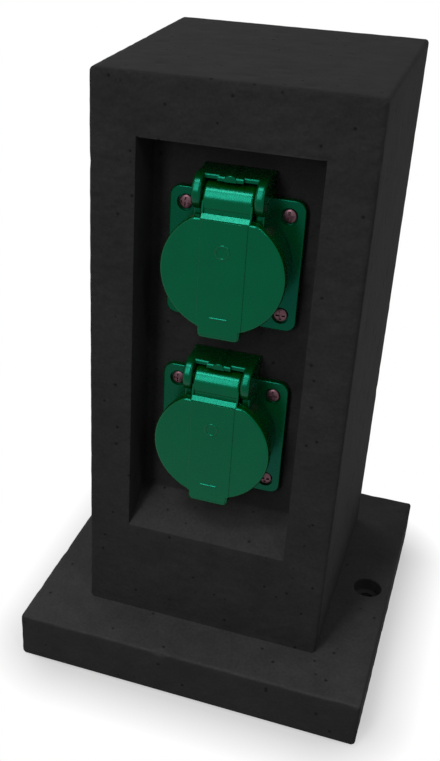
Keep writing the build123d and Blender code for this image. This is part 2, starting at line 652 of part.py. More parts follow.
def contact_carrier():
    """Moulded block behind the well floor that holds the contacts apart."""
    front, behind = FLOOR_BACK - OVERRUN, CARRIER_BACK + OVERRUN
    body = rod_y(CARRIER_R, FLOOR_BACK, CARRIER_BACK)
    for x in (-PIN_SPACING / 2, PIN_SPACING / 2):
        body -= rod_y(SLEEVE_R + FIT_GAP, front, behind, x)
        body -= clamp_pocket(x, 0.0)
    body -= clamp_pocket(0.0, -EARTH_CLAMP_DROP)
    strip_half = EARTH_STRIP_WIDTH / 2 + FIT_GAP
    body -= block(-strip_half, strip_half, front, STRIP_BACK + FIT_GAP,
                  -CARRIER_R - OVERRUN, CARRIER_R + OVERRUN)
    tail_half = EARTH_STRIP_THICKNESS / 2 + FIT_GAP
    body -= block(-strip_half, strip_half, FLOOR_BACK, behind,
                  -EARTH_CLAMP_DROP - tail_half, -EARTH_CLAMP_DROP + tail_half)
    body -= rod_y(CARRIER_SCREW_R + THREAD_CLEARANCE, front, FLOOR_BACK + CARRIER_SCREW_LENGTH)
    return body


def clamp_pocket(x, z):
    """Return the seat of a terminal clamp in the carrier's back."""
    half_x = CLAMP_WIDTH / 2 + FIT_GAP
    half_z = CLAMP_HEIGHT / 2 + FIT_GAP
    return block(x - half_x, x + half_x, CLAMP_FRONT - FIT_GAP, CARRIER_BACK + OVERRUN,
                 z - half_z, z + half_z)


def clamp(x, z):
    """Return a terminal clamp block."""
    half_x, half_z = CLAMP_WIDTH / 2, CLAMP_HEIGHT / 2
    return block(x - half_x, x + half_x, CLAMP_FRONT, CLAMP_BACK, z - half_z, z + half_z)


def live_contact(side):
    """Slotted brass sleeve for one plug pin, with its terminal clamp."""
    x = side * PIN_SPACING / 2
    front = FLOOR_BACK - OVERRUN
    slit_half = SLEEVE_SLIT_WIDTH / 2
    contact = rod_y(SLEEVE_R, CLAMP_FRONT - SLEEVE_LENGTH, CLAMP_FRONT + FUSE, x) + clamp(x, 0.0)
    contact -= rod_y(SLEEVE_BORE_R, front, CLAMP_FRONT + PIN_STOP_DEPTH, x)
    contact -= block(x - slit_half, x + slit_half, front, CLAMP_FRONT - SLEEVE_ROOT,
                     -SLEEVE_R - OVERRUN, SLEEVE_R + OVERRUN)
    contact -= rod_z(CLAMP_SCREW_R + THREAD_CLEARANCE, CLAMP_HOLE_FLOOR, CLAMP_HEIGHT, x, CLAMP_SCREW_Y)
    return contact


def earth_clip():
    """Return the upper spring clip, bowed towards the plug."""
    tip = FLOOR_FRONT - EARTH_CLIP_REACH
    middle = FLOOR_FRONT - EARTH_CLIP_REACH / 2
    outer = [(STRIP_BACK, EARTH_CLIP_R), (FLOOR_FRONT - EARTH_CLIP_STRAIGHT, EARTH_CLIP_R),
             (middle, EARTH_CLIP_R - EARTH_CLIP_BOW), (tip, EARTH_CLIP_R)]
    inner = [(y, z - EARTH_STRIP_THICKNESS) for y, z in reversed(outer)]
    return profile_x(outer + inner, -EARTH_STRIP_WIDTH / 2, EARTH_STRIP_WIDTH / 2)


def earth_bracket():
    """Sprung strip behind the floor with a clip at the top and bottom, and its terminal clamp."""
    half = EARTH_STRIP_WIDTH / 2
    tail_half = EARTH_STRIP_THICKNESS / 2
    bracket = block(-half, half, STRIP_FRONT, STRIP_BACK, -EARTH_CLIP_R, EARTH_CLIP_R)
    bracket += earth_clip() + mirror(earth_clip(), Plane.XY)
    bracket += block(-half, half, STRIP_FRONT, CLAMP_FRONT + FUSE,
                     -EARTH_CLAMP_DROP - tail_half, -EARTH_CLAMP_DROP + tail_half)
    bracket += clamp(0.0, -EARTH_CLAMP_DROP)
    bracket -= rod_y(CARRIER_SCREW_R + FIT_GAP, STRIP_FRONT - OVERRUN, STRIP_BACK + OVERRUN)
    hole_top = -EARTH_CLAMP_DROP - CLAMP_HOLE_FLOOR
    bracket -= rod_z(CLAMP_SCREW_R + THREAD_CLEARANCE, hole_top - CLAMP_HEIGHT, hole_top, 0, CLAMP_SCREW_Y)
    return bracket


def terminal_screws():
    """One clamp screw for each of the line, neutral and earth terminals."""
    seat = CLAMP_HEIGHT / 2
    top = seat + CLAMP_SCREW_HEAD_HEIGHT
    half = DRIVE_SLOT_WIDTH / 2
    reach = CLAMP_SCREW_HEAD_R + OVERRUN
    up = rod_z(CLAMP_SCREW_R, CLAMP_SCREW_TIP, seat, 0, CLAMP_SCREW_Y)
    up += rod_z(CLAMP_SCREW_HEAD_R, seat, top, 0, CLAMP_SCREW_Y)
    up -= block(-reach, reach, CLAMP_SCREW_Y - half, CLAMP_SCREW_Y + half,
                top - DRIVE_SLOT_DEPTH, top + OVERRUN)
    down = Pos(0, 0, -EARTH_CLAMP_DROP) * mirror(up, Plane.XY)
    return gather([Pos(-PIN_SPACING / 2, 0, 0) * up, Pos(PIN_SPACING / 2, 0, 0) * up, down])


def carrier_screw():
    """Screw through the middle of the well floor into the carrier."""
    head_back = FLOOR_FRONT + CARRIER_SCREW_HEAD_HEIGHT
    screw = rod_y(CARRIER_SCREW_HEAD_R, FLOOR_FRONT, head_back)
    screw += rod_y(CARRIER_SCREW_R, head_back, FLOOR_FRONT + CARRIER_SCREW_LENGTH)
    return screw - cross_slot_y(CARRIER_SCREW_HEAD_R - CARRIER_SCREW_SLOT_BORDER, FLOOR_FRONT)


def gland_body():
    """Gland with a hexagonal collar, an inner thread through the wall and an outer thread."""
    thread_front = INNER_Y - LOCKNUT_HEIGHT - GLAND_THREAD_SPARE
    thread_back = GLAND_HEX_BACK + GLAND_FRONT_THREAD
    body = hexagon_y(GLAND_HEX_ACROSS, BACK_Y, GLAND_HEX_BACK, 0, GLAND_Z)
    body += rod_y(GLAND_THREAD_R, thread_front, thread_back, 0, GLAND_Z)
    body -= rod_y(GLAND_BORE_R + FIT_GAP, thread_front - OVERRUN, thread_back + OVERRUN, 0, GLAND_Z)
    body -= rod_y(GLAND_SEAL_R, GLAND_HEX_BACK, thread_back + OVERRUN, 0, GLAND_Z)
    return body


def gland_seal():
    """Rubber bush that grips the cable."""
    end = GLAND_NUT_BACK - GLAND_NUT_WALL - FIT_GAP
    return ring_y(GLAND_SEAL_R - FIT_GAP / 2, GLAND_BORE_R, GLAND_HEX_BACK, end, 0, GLAND_Z)


def gland_nut():
    """Dome nut that squeezes the bush."""
    start = GLAND_HEX_BACK + GLAND_NUT_GAP
    nut = hexagon_y(GLAND_HEX_ACROSS, start, GLAND_NUT_BACK - GLAND_DOME_LENGTH, 0, GLAND_Z)
    nut += rod_y(GLAND_HEX_ACROSS / 2, start, GLAND_NUT_BACK, 0, GLAND_Z)
    nut = fillet(nut.edges().sort_by(Axis.Y)[-1], GLAND_DOME_R)
    nut -= rod_y(GLAND_THREAD_R + THREAD_CLEARANCE, start - OVERRUN, GLAND_NUT_BACK - GLAND_NUT_WALL,
                 0, GLAND_Z)
    return nut - rod_y(GLAND_BORE_R + FIT_GAP, start, GLAND_NUT_BACK + OVERRUN, 0, GLAND_Z)


def gland_locknut():
    """Hexagonal nut on the gland's thread inside the wall."""
    start = INNER_Y - LOCKNUT_HEIGHT
    nut = hexagon_y(LOCKNUT_ACROSS, start, INNER_Y, 0, GLAND_Z)
    return nut - rod_y(GLAND_THREAD_R + THREAD_CLEARANCE, start - OVERRUN, INNER_Y + OVERRUN, 0, GLAND_Z)


def pole_places():
    """Return the x of the three poles: they line up with the supply wires' terminals."""
    reach = PIN_SPACING / 2 + WIRE_OFFSET
    return [-reach, 0.0, reach]


def pole_screw_heights():
    """Return the heights of each pole's two clamp screws."""
    return [BLOCK_BOTTOM_Z + POLE_SCREW_INSET, BLOCK_TOP_Z - POLE_SCREW_INSET]


def block_screw_places():
    """Return the x of the two mounting screws, half way between the poles."""
    reach = pole_places()[-1] / 2
    return [-reach, reach]


def terminal_block():
    """Moulded three-pole block."""
    body = block(-BLOCK_WIDTH / 2, BLOCK_WIDTH / 2, BLOCK_FRONT, INNER_Y, BLOCK_BOTTOM_Z, BLOCK_TOP_Z)
    for x in pole_places():
        body -= rod_z(POLE_TUBE_R + FIT_GAP / 2, BLOCK_BOTTOM_Z - OVERRUN, BLOCK_TOP_Z + OVERRUN,
                      x, BLOCK_MID_Y)
        for z in pole_screw_heights():
            body -= rod_y(CLAMP_SCREW_HEAD_R + FIT_GAP, BLOCK_FRONT - OVERRUN, BLOCK_MID_Y, x, z)
    for x in block_screw_places():
        body -= rod_y(M3_SHANK_R + SCREW_CLEARANCE, BLOCK_FRONT - OVERRUN, INNER_Y + OVERRUN, x, BLOCK_MID_Z)
    return body


def pole_tubes():
    """Three brass tubes, each with two threaded holes."""
    tubes = []
    for x in pole_places():
        tube = rod_z(POLE_TUBE_R, BLOCK_BOTTOM_Z, BLOCK_TOP_Z, x, BLOCK_MID_Y)
        tube -= rod_z(POLE_BORE_R, BLOCK_BOTTOM_Z - OVERRUN, BLOCK_TOP_Z + OVERRUN, x, BLOCK_MID_Y)
        for z in pole_screw_heights():
            front = BLOCK_MID_Y - POLE_TUBE_R - OVERRUN
            tube -= rod_y(CLAMP_SCREW_R + THREAD_CLEARANCE, front, BLOCK_MID_Y, x, z)
        tubes.append(tube)
    return gather(tubes)


def pole_screws():
    """Six clamp screws, two in each pole."""
    tip = BLOCK_MID_Y - POLE_BORE_R + POLE_SCREW_ENTRY
    seat = BLOCK_MID_Y - POLE_TUBE_R - FIT_GAP / 2
    face = seat - CLAMP_SCREW_HEAD_HEIGHT
    screws = []
    for x in pole_places():
        for z in pole_screw_heights():
            screw = rod_y(CLAMP_SCREW_R, seat, tip, x, z) + rod_y(CLAMP_SCREW_HEAD_R, face, seat, x, z)
            screws.append(screw - cross_slot_y(CLAMP_SCREW_HEAD_R - CLAMP_SCREW_SLOT_BORDER, face, x, z))
    return gather(screws)


def block_screws():
    """Two screws that hold the terminal block to the back wall."""
    face = BLOCK_FRONT - M3_HEAD_HEIGHT
    screws = []
    for x in block_screw_places():
        screw = rod_y(M3_HEAD_R, face, BLOCK_FRONT, x, BLOCK_MID_Z)
        screw += rod_y(M3_SHANK_R, BLOCK_FRONT, INNER_Y + BLOCK_SCREW_GRIP, x, BLOCK_MID_Z)
        screws.append(screw - cross_slot_y(M3_HEAD_R - M3_SLOT_BORDER, face, x, BLOCK_MID_Z))
    return gather(screws)


def wire_tube(name, points):
    """Sweep an insulated wire along straight runs joined by tangent arcs."""
    radii = bend_radii(points)
    route = FilletPolyline(*points, radius=radii)
    tube = sweep(Plane(origin=route @ 0, z_dir=route % 0) * Circle(WIRE_R), route)
    expected = math.pi * WIRE_R ** 2 * route.length
    print(f"{name}: length {route.length:.1f} mm, radii {radii}, volume ratio {tube.volume / expected:.4f}")
    return tube


def bend_radii(points):
    """Return each corner's radius: a share of the shorter run over the tangent of half the turn."""
    radii = []
    for before, corner, after in zip(points, points[1:], points[2:]):
        run_in = Vector(*corner) - Vector(*before)
        run_out = Vector(*after) - Vector(*corner)
        half_turn = math.radians(run_in.get_angle(run_out)) / 2
        radii.append(round(BEND_SHARE * min(run_in.length, run_out.length) / math.tan(half_turn), 3))
    return radii


def clamp_entries(socket_z):
    """Return the wire places on the line, neutral and earth clamps: (supply, jumper) pairs of (x, z)."""
    reach = PIN_SPACING / 2
    earth_z = socket_z - EARTH_CLAMP_DROP
    return {
        "line": ((-reach - WIRE_OFFSET, socket_z), (-reach + WIRE_OFFSET, socket_z)),
        "neutral": ((reach + WIRE_OFFSET, socket_z), (reach - WIRE_OFFSET, socket_z)),
        "earth": ((0.0, earth_z - WIRE_OFFSET), (0.0, earth_z + WIRE_OFFSET)),
    }


def supply_wire(pole):
    """Wire from the terminal block up to the lower socket."""
    x, z = clamp_entries(LOWER_SOCKET_Z)[pole][0]
    end_y = WALL_Y + CLAMP_BACK
    points = [(x, BLOCK_MID_Y, BLOCK_TOP_Z), (x, BLOCK_MID_Y, z), (x, end_y, z)]
    return wire_tube(f"{pole}_supply_wire", points)


def jumper_wire(pole):
    """Wire from the lower socket up to the upper one."""
    x, z_low = clamp_entries(LOWER_SOCKET_Z)[pole][1]
    z_high = clamp_entries(UPPER_SOCKET_Z)[pole][1][1]
    start_y = WALL_Y + CLAMP_BACK
    loop_y = start_y + JUMPER_LOOP_REACH
    points = [(x, start_y, z_low), (x, loop_y, z_low), (x, loop_y, z_high), (x, start_y, z_high)]
    return wire_tube(f"{pole}_jumper_wire", points)


def socket_pieces():
    """Return one socket's pieces in its own frame, by name."""
    return {
        "socket_housing": socket_housing(),
        "flange_gasket": flange_gasket(),
        "flange_screws": flange_screws(),
        "lid": lid(),
        "lid_seal": lid_seal(),
        "hinge_pin": hinge_pin(),
        "lid_spring": lid_spring(),
        "contact_carrier": contact_carrier(),
        "line_contact": live_contact(-1),
        "neutral_contact": live_contact(1),
        "earth_bracket": earth_bracket(),
        "terminal_screws": terminal_screws(),
        "carrier_screw": carrier_screw(),
    }


def all_pieces():
    """Return every piece of the post in its place, by node name."""
    pieces = {
        "base_plate": base_plate(),
        "rubber_feet": rubber_feet(),
        "pillar_body": pillar_body(),
        "base_gasket": base_gasket(),
        "base_screws": base_screws(),
        "base_inserts": base_inserts(),
        "flange_inserts": flange_inserts(),
        "gland_body": gland_body(),
        "gland_seal": gland_seal(),
        "gland_nut": gland_nut(),
        "gland_locknut": gland_locknut(),
        "terminal_block": terminal_block(),
        "pole_tubes": pole_tubes(),
        "pole_screws": pole_screws(),
        "block_screws": block_screws(),
    }
    for pole in POLES:
        pieces[f"{pole}_supply_wire"] = supply_wire(pole)
        pieces[f"{pole}_jumper_wire"] = jumper_wire(pole)
    socket = socket_pieces()
    for level, z in SOCKETS.items():
        for name, piece in socket.items():
            pieces[f"{level}_{name}"] = Pos(0, WALL_Y, z) * piece
    return pieces


os.makedirs("parts", exist_ok=True)
for node, solid in all_pieces().items():
    export_step(solid, f"parts/{node}.step")
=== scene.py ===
"""Looks of an outdoor double socket: a cast-stone pillar on a slab, with two lidded sockets in its recess.

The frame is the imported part's: X across the front, Y into the depth (the front faces -Y) and Z up.
Sizes in the classes are millimetres, and each finished piece is scaled to metres.
"""

import json
import logging
import math
from dataclasses import dataclass
from enum import Enum
from typing import Callable, Optional, Sequence

import bmesh
import bpy
from mathutils import Matrix, Vector, noise


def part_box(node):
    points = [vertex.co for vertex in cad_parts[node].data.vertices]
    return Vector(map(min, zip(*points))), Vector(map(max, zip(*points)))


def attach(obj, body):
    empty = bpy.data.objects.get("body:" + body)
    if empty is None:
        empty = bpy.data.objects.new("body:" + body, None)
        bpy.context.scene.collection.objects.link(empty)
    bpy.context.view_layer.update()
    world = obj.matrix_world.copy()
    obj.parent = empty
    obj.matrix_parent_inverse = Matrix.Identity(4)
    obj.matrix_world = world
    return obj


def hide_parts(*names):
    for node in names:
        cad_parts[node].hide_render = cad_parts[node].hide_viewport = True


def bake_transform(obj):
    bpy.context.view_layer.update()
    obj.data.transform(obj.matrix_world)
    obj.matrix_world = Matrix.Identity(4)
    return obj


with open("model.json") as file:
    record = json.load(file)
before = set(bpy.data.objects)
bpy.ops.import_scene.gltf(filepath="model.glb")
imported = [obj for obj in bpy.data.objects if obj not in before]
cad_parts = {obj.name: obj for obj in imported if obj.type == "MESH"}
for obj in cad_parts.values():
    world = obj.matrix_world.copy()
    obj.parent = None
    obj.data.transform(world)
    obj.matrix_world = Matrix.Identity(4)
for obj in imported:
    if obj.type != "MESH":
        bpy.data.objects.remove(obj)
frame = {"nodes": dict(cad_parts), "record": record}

LOG = logging.getLogger("double_socket")
MM = 0.001
NEAR = 0.01
OVERRUN = 1.0
FULL_TURN = 2 * math.pi

Tree, Node, Socket = bpy.types.NodeTree, bpy.types.Node, bpy.types.NodeSocket
Shape, Vert, Edge, Face = bmesh.types.BMesh, bmesh.types.BMVert, bmesh.types.BMEdge, bmesh.types.BMFace
EdgeTest = Callable[[Edge], bool]
Point = Sequence[float]
Pair = tuple[float, float]
Triple = tuple[float, float, float]

WHOLE = (0.0, 1.0)
# Most of a noise texture's values lie between these two
NOISE_SPREAD = (0.3, 0.7)


class Axis(Enum):
    """The frame's axes, each with its place in a vector."""

    X = 0
    Y = 1
    Z = 2

    @property
    def unit(self) -> Vector:
        """Return the axis as a vector of length one."""
        return Vector([1.0 if place == self.value else 0.0 for place in range(3)])

    @property
    def turn(self) -> Matrix:
        """Return the turn that lays a shape made along Z along this axis.

        Returns:
            The turn as a matrix.
        """
        if self is Axis.X:
            return Matrix.Rotation(math.pi / 2, 4, "Y")
        return Matrix.Rotation(-math.pi / 2, 4, "X") if self is Axis.Y else Matrix.Identity(4)


class Join(Enum):
    """How two solids are combined."""

    ADD = "UNION"
    CUT = "DIFFERENCE"
    KEEP_COMMON = "INTERSECT"


class Level(Enum):
    """The two sockets, by the word that starts their nodes' names."""

    UPPER = "upper"
    LOWER = "lower"

    @property
    def lid_body(self) -> str:
        """Return the body that this socket's lid moves with."""
        return f"{self.value}_lid_body"

    def node(self, piece: str) -> str:
        """Return the name of this socket's node for a piece."""
        return f"{self.value}_{piece}"


POST = "post"
FACING = "facing"


def linear(colour: str) -> tuple[float, float, float, float]:
    """Turn an sRGB hex colour into linear light.

    Args:
        colour: the colour as #rrggbb.

    Returns:
        Red, green and blue in linear light, and an alpha of one.
    """
    shares = [int(colour[place:place + 2], 16) / 255 for place in (1, 3, 5)]
    light = [share / 12.92 if share <= 0.04045 else ((share + 0.055) / 1.055) ** 2.4 for share in shares]
    return (*light, 1.0)


def add_node(tree: Tree, kind: str, settings: Optional[dict] = None,
             links: Optional[dict] = None) -> Node:
    """Add a shader node with its settings and links.

    Args:
        tree: the node tree that gets the node.
        kind: the node's type.
        settings: values by property name, socket name or socket number.
        links: the outputs to take, by socket name or number of the input.

    Returns:
        The new node.
    """
    node = tree.nodes.new(kind)
    for key, value in (settings or {}).items():
        if isinstance(key, str) and hasattr(node, key):
            setattr(node, key, value)
        else:
            node.inputs[key].default_value = value
    for key, output in (links or {}).items():
        tree.links.new(output, node.inputs[key])
    return node


def scale_of(size_mm: float) -> float:
    """Return the texture scale whose features are so many millimetres apart."""
    return 1.0 / (size_mm * MM)


def smooth_step(low: float, high: float, value: float) -> float:
    """Return 0 below low, 1 above high and a smooth rise between them."""
    share = min(max((value - low) / (high - low), 0.0), 1.0)
    return share * share * (3 - 2 * share)


# Finishes


def graded(tree: Tree, *factors: tuple[Socket, Pair, Pair]) -> Socket:
    """Multiply values together, each mapped to its own range first.

    Args:
        tree: the node tree.
        factors: the values, each with the range that it is read in and the range that it is given in.

    Returns:
        The product.
    """
    product = None
    for value, source, target in factors:
        settings = dict(zip(("From Min", "From Max", "To Min", "To Max"), (*source, *target)))
        factor = add_node(tree, "ShaderNodeMapRange", settings, {"Value": value}).outputs["Result"]
        product = factor if product is None else add_node(
            tree, "ShaderNodeMath", {"operation": "MULTIPLY"}, {0: product, 1: factor}).outputs[0]
    return product


@dataclass(frozen=True)
class Finish:
    """A finish by name; each kind of finish builds its own nodes in dress."""

    name: str
    colour: str
    roughness: float = 0.5
    roughness_swing: float = 0.06
    specular: float = 0.5
    relief_mm: float = 0.05
    bump: float = 0.5

    def material(self) -> bpy.types.Material:
        """Return this finish's material, made on first use.

        Returns:
            The material.
        """
        found = bpy.data.materials.get(self.name)
        if found:
            return found
        material = bpy.data.materials.new(self.name)
        material.use_nodes = True
        tree = material.node_tree
        shader = tree.nodes["Principled BSDF"]
        shader.inputs["Base Color"].default_value = linear(self.colour)
        shader.inputs["Roughness"].default_value = self.roughness
        shader.inputs["Specular IOR Level"].default_value = self.specular
        self.dress(tree, shader, add_node(tree, "ShaderNodeTexCoord").outputs["Object"])
        return material

    def dress(self, tree: Tree, shader: Node, place: Socket) -> None:
        """Add the finish's own nodes to the plain shader.

        Args:
            tree: the material's node tree.
            shader: its principled shader.
            place: the Object coordinates.
        """
        raise NotImplementedError

    def coat(self, tree: Tree, shader: Node, shade: Socket, grain: Socket, rise: Optional[Socket] = None,
             normal: Optional[Socket] = None) -> None:
        """Give the shader its shaded colour, its uneven gloss and its relief.

        Args:
            tree: the material's node tree.
            shader: its principled shader.
            shade: the share of the colour that shows.
            grain: the texture that the gloss follows.
            rise: the height of the relief, where that isn't the grain.
            normal: the surface that the relief lies on, where that isn't plain.
        """
        colour = add_node(tree, "ShaderNodeVectorMath", {"operation": "SCALE", 0: linear(self.colour)[:3]},
                          {"Scale": shade})
        gloss = graded(tree, (grain, NOISE_SPREAD, (self.roughness - self.roughness_swing,
                                                    self.roughness + self.roughness_swing)))
        relief = add_node(tree, "ShaderNodeBump", {"Strength": self.bump, "Distance": self.relief_mm * MM},
                          {"Height": rise or grain})
        if normal:
            tree.links.new(normal, relief.inputs["Normal"])
        tree.links.new(colour.outputs["Vector"], shader.inputs["Base Color"])
        tree.links.new(gloss, shader.inputs["Roughness"])
        tree.links.new(relief.outputs["Normal"], shader.inputs["Normal"])


@dataclass(frozen=True)
class CastStone(Finish):
    """Cast stone: cement and fine crushed stone, dyed through and poured in a mould.

    To the eye: a matt, almost black grey with cloudy patches, a fine sandy grain and a few round
    pores, 1 to 1.5 mm wide, where air bubbles lay against the mould; the pores are painted darker, a
    painted shade in the pits. What faces up near the ground is painted lighter, a painted top light,
    and the front has low, level ripples. Heights are in metres.
    """

    roughness: float = 0.86
    roughness_swing: float = 0.08
    specular: float = 0.03
    relief_mm: float = 0.35
    bump: float = 0.55
    patch_mm: float = 14.0
    patch_shade: Pair = (0.87, 1.12)
    # The sand is about 0.5 mm, and is drawn twice as coarse so that it shows
    grain_mm: float = 1.1
    grain_shade: Pair = (0.84, 1.17)
    grain_rise: float = 0.45
    ripple_mm: Triple = (5.4, 5.4, 3.8)
    ripple_relief_mm: float = 1.2
    ripple_height: Pair = (0.09, 0.22)
    ripple_strength: Pair = (0.3, 0.7)
    front_facing: Pair = (-0.9, -0.5)
    front_strength: Pair = (1.0, 0.1)
    # How much lighter upward faces near the ground are painted: a painted top light
    painted_top_light: float = 0.6
    painted_top_light_height: Pair = (0.15, 0.18)
    painted_top_light_facing: Pair = (0.3, 0.8)
    pore_spacing_mm: float = 5.0
    pore_share: float = 0.5
    pore_edge: Pair = (0.084, 0.156)
    # The pores are painted darker by this share: a painted shade in the pits
    pore_painted_shade: float = 0.45
    pore_rise: float = 0.5

    def dress(self, tree: Tree, shader: Node, place: Socket) -> None:
        """Put cloud, grain, the pores' painted shade and a painted top light in the colour, and grain, pores
        and ripples in the relief.

        Args:
            tree: the material's node tree.
            shader: its principled shader.
            place: the Object coordinates.
        """
        patches = add_node(tree, "ShaderNodeTexNoise", {"Scale": scale_of(self.patch_mm), "Detail": 4.0,
                                                        "Roughness": 0.6}, {"Vector": place}).outputs["Fac"]
        grain = add_node(tree, "ShaderNodeTexNoise", {"Scale": scale_of(self.grain_mm), "Detail": 3.0,
                                                      "Roughness": 0.65}, {"Vector": place}).outputs["Fac"]
        pore = self.pores(tree, place)
        noted = add_node(tree, "ShaderNodeAttribute", {"attribute_name": FACING}).outputs["Vector"]
        facing = add_node(tree, "ShaderNodeSeparateXYZ", {}, {"Vector": noted})
        height = add_node(tree, "ShaderNodeSeparateXYZ", {}, {"Vector": place}).outputs["Z"]
        # Painted top light: faces that point up, near the ground, are painted lighter in place of light from
        # above
        painted_top_light = graded(tree, (height, self.painted_top_light_height, (self.painted_top_light, 0.0)),
                      (facing.outputs["Z"], self.painted_top_light_facing, WHOLE))
        # The pores' darker colour is a painted shade in the pits
        stone = graded(tree, (patches, NOISE_SPREAD, self.patch_shade),
                       (grain, NOISE_SPREAD, self.grain_shade), (pore, WHOLE, (1.0, self.pore_painted_shade)))
        shade = add_node(tree, "ShaderNodeMath", {"operation": "MULTIPLY_ADD"}, {0: stone, 1: painted_top_light, 2: stone})
        floor = graded(tree, (pore, WHOLE, (self.pore_rise, 0.0)))
        rise = add_node(tree, "ShaderNodeMath", {"operation": "MULTIPLY_ADD", 1: self.grain_rise},
                        {0: grain, 2: floor})
        self.coat(tree, shader, shade.outputs[0], grain, rise.outputs[0],
                  self.ripples(tree, place, height, facing.outputs["Y"]))

    def ripples(self, tree: Tree, place: Socket, height: Socket, facing: Socket) -> Socket:
        """Make the low, level ripples of the front, stronger higher up.

        Args:
            tree: the material's node tree.
            place: the Object coordinates.
            height: the height above the ground.
            facing: how far the surface faces back.

        Returns:
            The surface's direction with the ripples.
        """
        stretch = [scale_of(size) for size in self.ripple_mm]
        stretched = add_node(tree, "ShaderNodeVectorMath", {"operation": "MULTIPLY", 1: stretch}, {0: place})
        waves = add_node(tree, "ShaderNodeTexNoise", {"Scale": 1.0, "Detail": 1.0, "Roughness": 0.5},
                         {"Vector": stretched.outputs["Vector"]})
        strength = graded(tree, (height, self.ripple_height, self.ripple_strength),
                          (facing, self.front_facing, self.front_strength))
        return add_node(tree, "ShaderNodeBump", {"Distance": self.ripple_relief_mm * MM},
                        {"Height": waves.outputs["Fac"], "Strength": strength}).outputs["Normal"]

    def pores(self, tree: Tree, place: Socket) -> Socket:
        """Make a mask of the pores; only some of the cells hold one.

        Args:
            tree: the material's node tree.
            place: the Object coordinates.

        Returns:
            One inside the pores and zero elsewhere.
        """
        cells = add_node(tree, "ShaderNodeTexVoronoi", {"Scale": scale_of(self.pore_spacing_mm)},
                         {"Vector": place})
        drawn = add_node(tree, "ShaderNodeSeparateColor", {}, {"Color": cells.outputs["Color"]})
        chosen = add_node(tree, "ShaderNodeMath", {"operation": "LESS_THAN", 1: self.pore_share},
                          {0: drawn.outputs["Red"]})
        return graded(tree, (cells.outputs["Distance"], self.pore_edge, (1.0, 0.0)),
                      (chosen.outputs[0], WHOLE, WHOLE))


@dataclass(frozen=True)
class MouldedPolyamide(Finish):
    """Glass-filled polyamide, injection moulded in a polished tool.

    To the eye: a deep green with a clear gloss whose reflections stay green, faintly uneven as the
    skin over the fibres is, and light along each rounded edge.
    """

    roughness: float = 0.27
    roughness_swing: float = 0.03
    relief_mm: float = 0.02
    bump: float = 0.4
    tint: str = "#34f0ca"
    cloud_mm: float = 9.0
    cloud_shade: Pair = (0.9, 1.1)
    # The fibres under the skin are under 0.3 mm long, and are drawn coarser so that they show
    skin_mm: float = 0.9

    def dress(self, tree: Tree, shader: Node, place: Socket) -> None:
        """Put a faint cloud in the colour, and the moulded skin in the gloss and the relief.

        Args:
            tree: the material's node tree.
            shader: its principled shader.
            place: the Object coordinates.
        """
        shader.inputs["Specular Tint"].default_value = linear(self.tint)
        cloud = add_node(tree, "ShaderNodeTexNoise", {"Scale": scale_of(self.cloud_mm), "Detail": 3.0},
                         {"Vector": place}).outputs["Fac"]
        skin = add_node(tree, "ShaderNodeTexNoise", {"Scale": scale_of(self.skin_mm), "Detail": 2.0},
                        {"Vector": place}).outputs["Fac"]
        self.coat(tree, shader, graded(tree, (cloud, NOISE_SPREAD, self.cloud_shade)), skin)


@dataclass(frozen=True)
class MattMoulding(Finish):
    """Moulded resin, rubber or foam with a fine spark-eroded or open surface.

    To the eye: one even colour, broken by a fine grain that also dulls the gloss.
    """

    roughness: float = 0.6
    specular: float = 0.35
    # A spark-eroded grain is about 0.1 mm, and is drawn coarser so that it shows
    grain_mm: float = 0.6
    contrast: float = 0.12

    def dress(self, tree: Tree, shader: Node, place: Socket) -> None:
        """Let one grain drive the colour, the gloss and the relief.

        Args:
            tree: the material's node tree.
            shader: its principled shader.
            place: the Object coordinates.
        """
        grain = add_node(tree, "ShaderNodeTexNoise", {"Scale": scale_of(self.grain_mm), "Detail": 3.0},
                         {"Vector": place}).outputs["Fac"]
        shade = graded(tree, (grain, NOISE_SPREAD, (1 - self.contrast, 1 + self.contrast)))
        self.coat(tree, shader, shade, grain)


@dataclass(frozen=True)
class WorkedMetal(Finish):
    """Steel or brass, turned or drawn, then plated or left bright.

    To the eye: a metal colour with fine streaks across one axis, from the tool or the die.
    """

    roughness: float = 0.32
    roughness_swing: float = 0.1
    relief_mm: float = 0.02
    bump: float = 0.3
    # Tool marks are under 0.1 mm apart, and are drawn coarser so that they show
    streak_mm: float = 0.25
    streak_stretch: Triple = (1.0, 6.0, 1.0)
    stain_mm: float = 3.0
    stain_shade: Pair = (0.82, 1.08)

    def dress(self, tree: Tree, shader: Node, place: Socket) -> None:
        """Put streaks in the gloss and the relief, and a slow stain in the colour.

        Args:
            tree: the material's node tree.
            shader: its principled shader.
            place: the Object coordinates.
        """
        shader.inputs["Metallic"].default_value = 1.0
        drawn = add_node(tree, "ShaderNodeVectorMath", {"operation": "MULTIPLY", 1: self.streak_stretch},
                         {0: place}).outputs["Vector"]
        streaks = add_node(tree, "ShaderNodeTexNoise", {"Scale": scale_of(self.streak_mm), "Detail": 2.0},
                           {"Vector": drawn}).outputs["Fac"]
        stain = add_node(tree, "ShaderNodeTexNoise", {"Scale": scale_of(self.stain_mm), "Detail": 2.0},
                         {"Vector": place}).outputs["Fac"]
        self.coat(tree, shader, graded(tree, (stain, NOISE_SPREAD, self.stain_shade)), streaks)


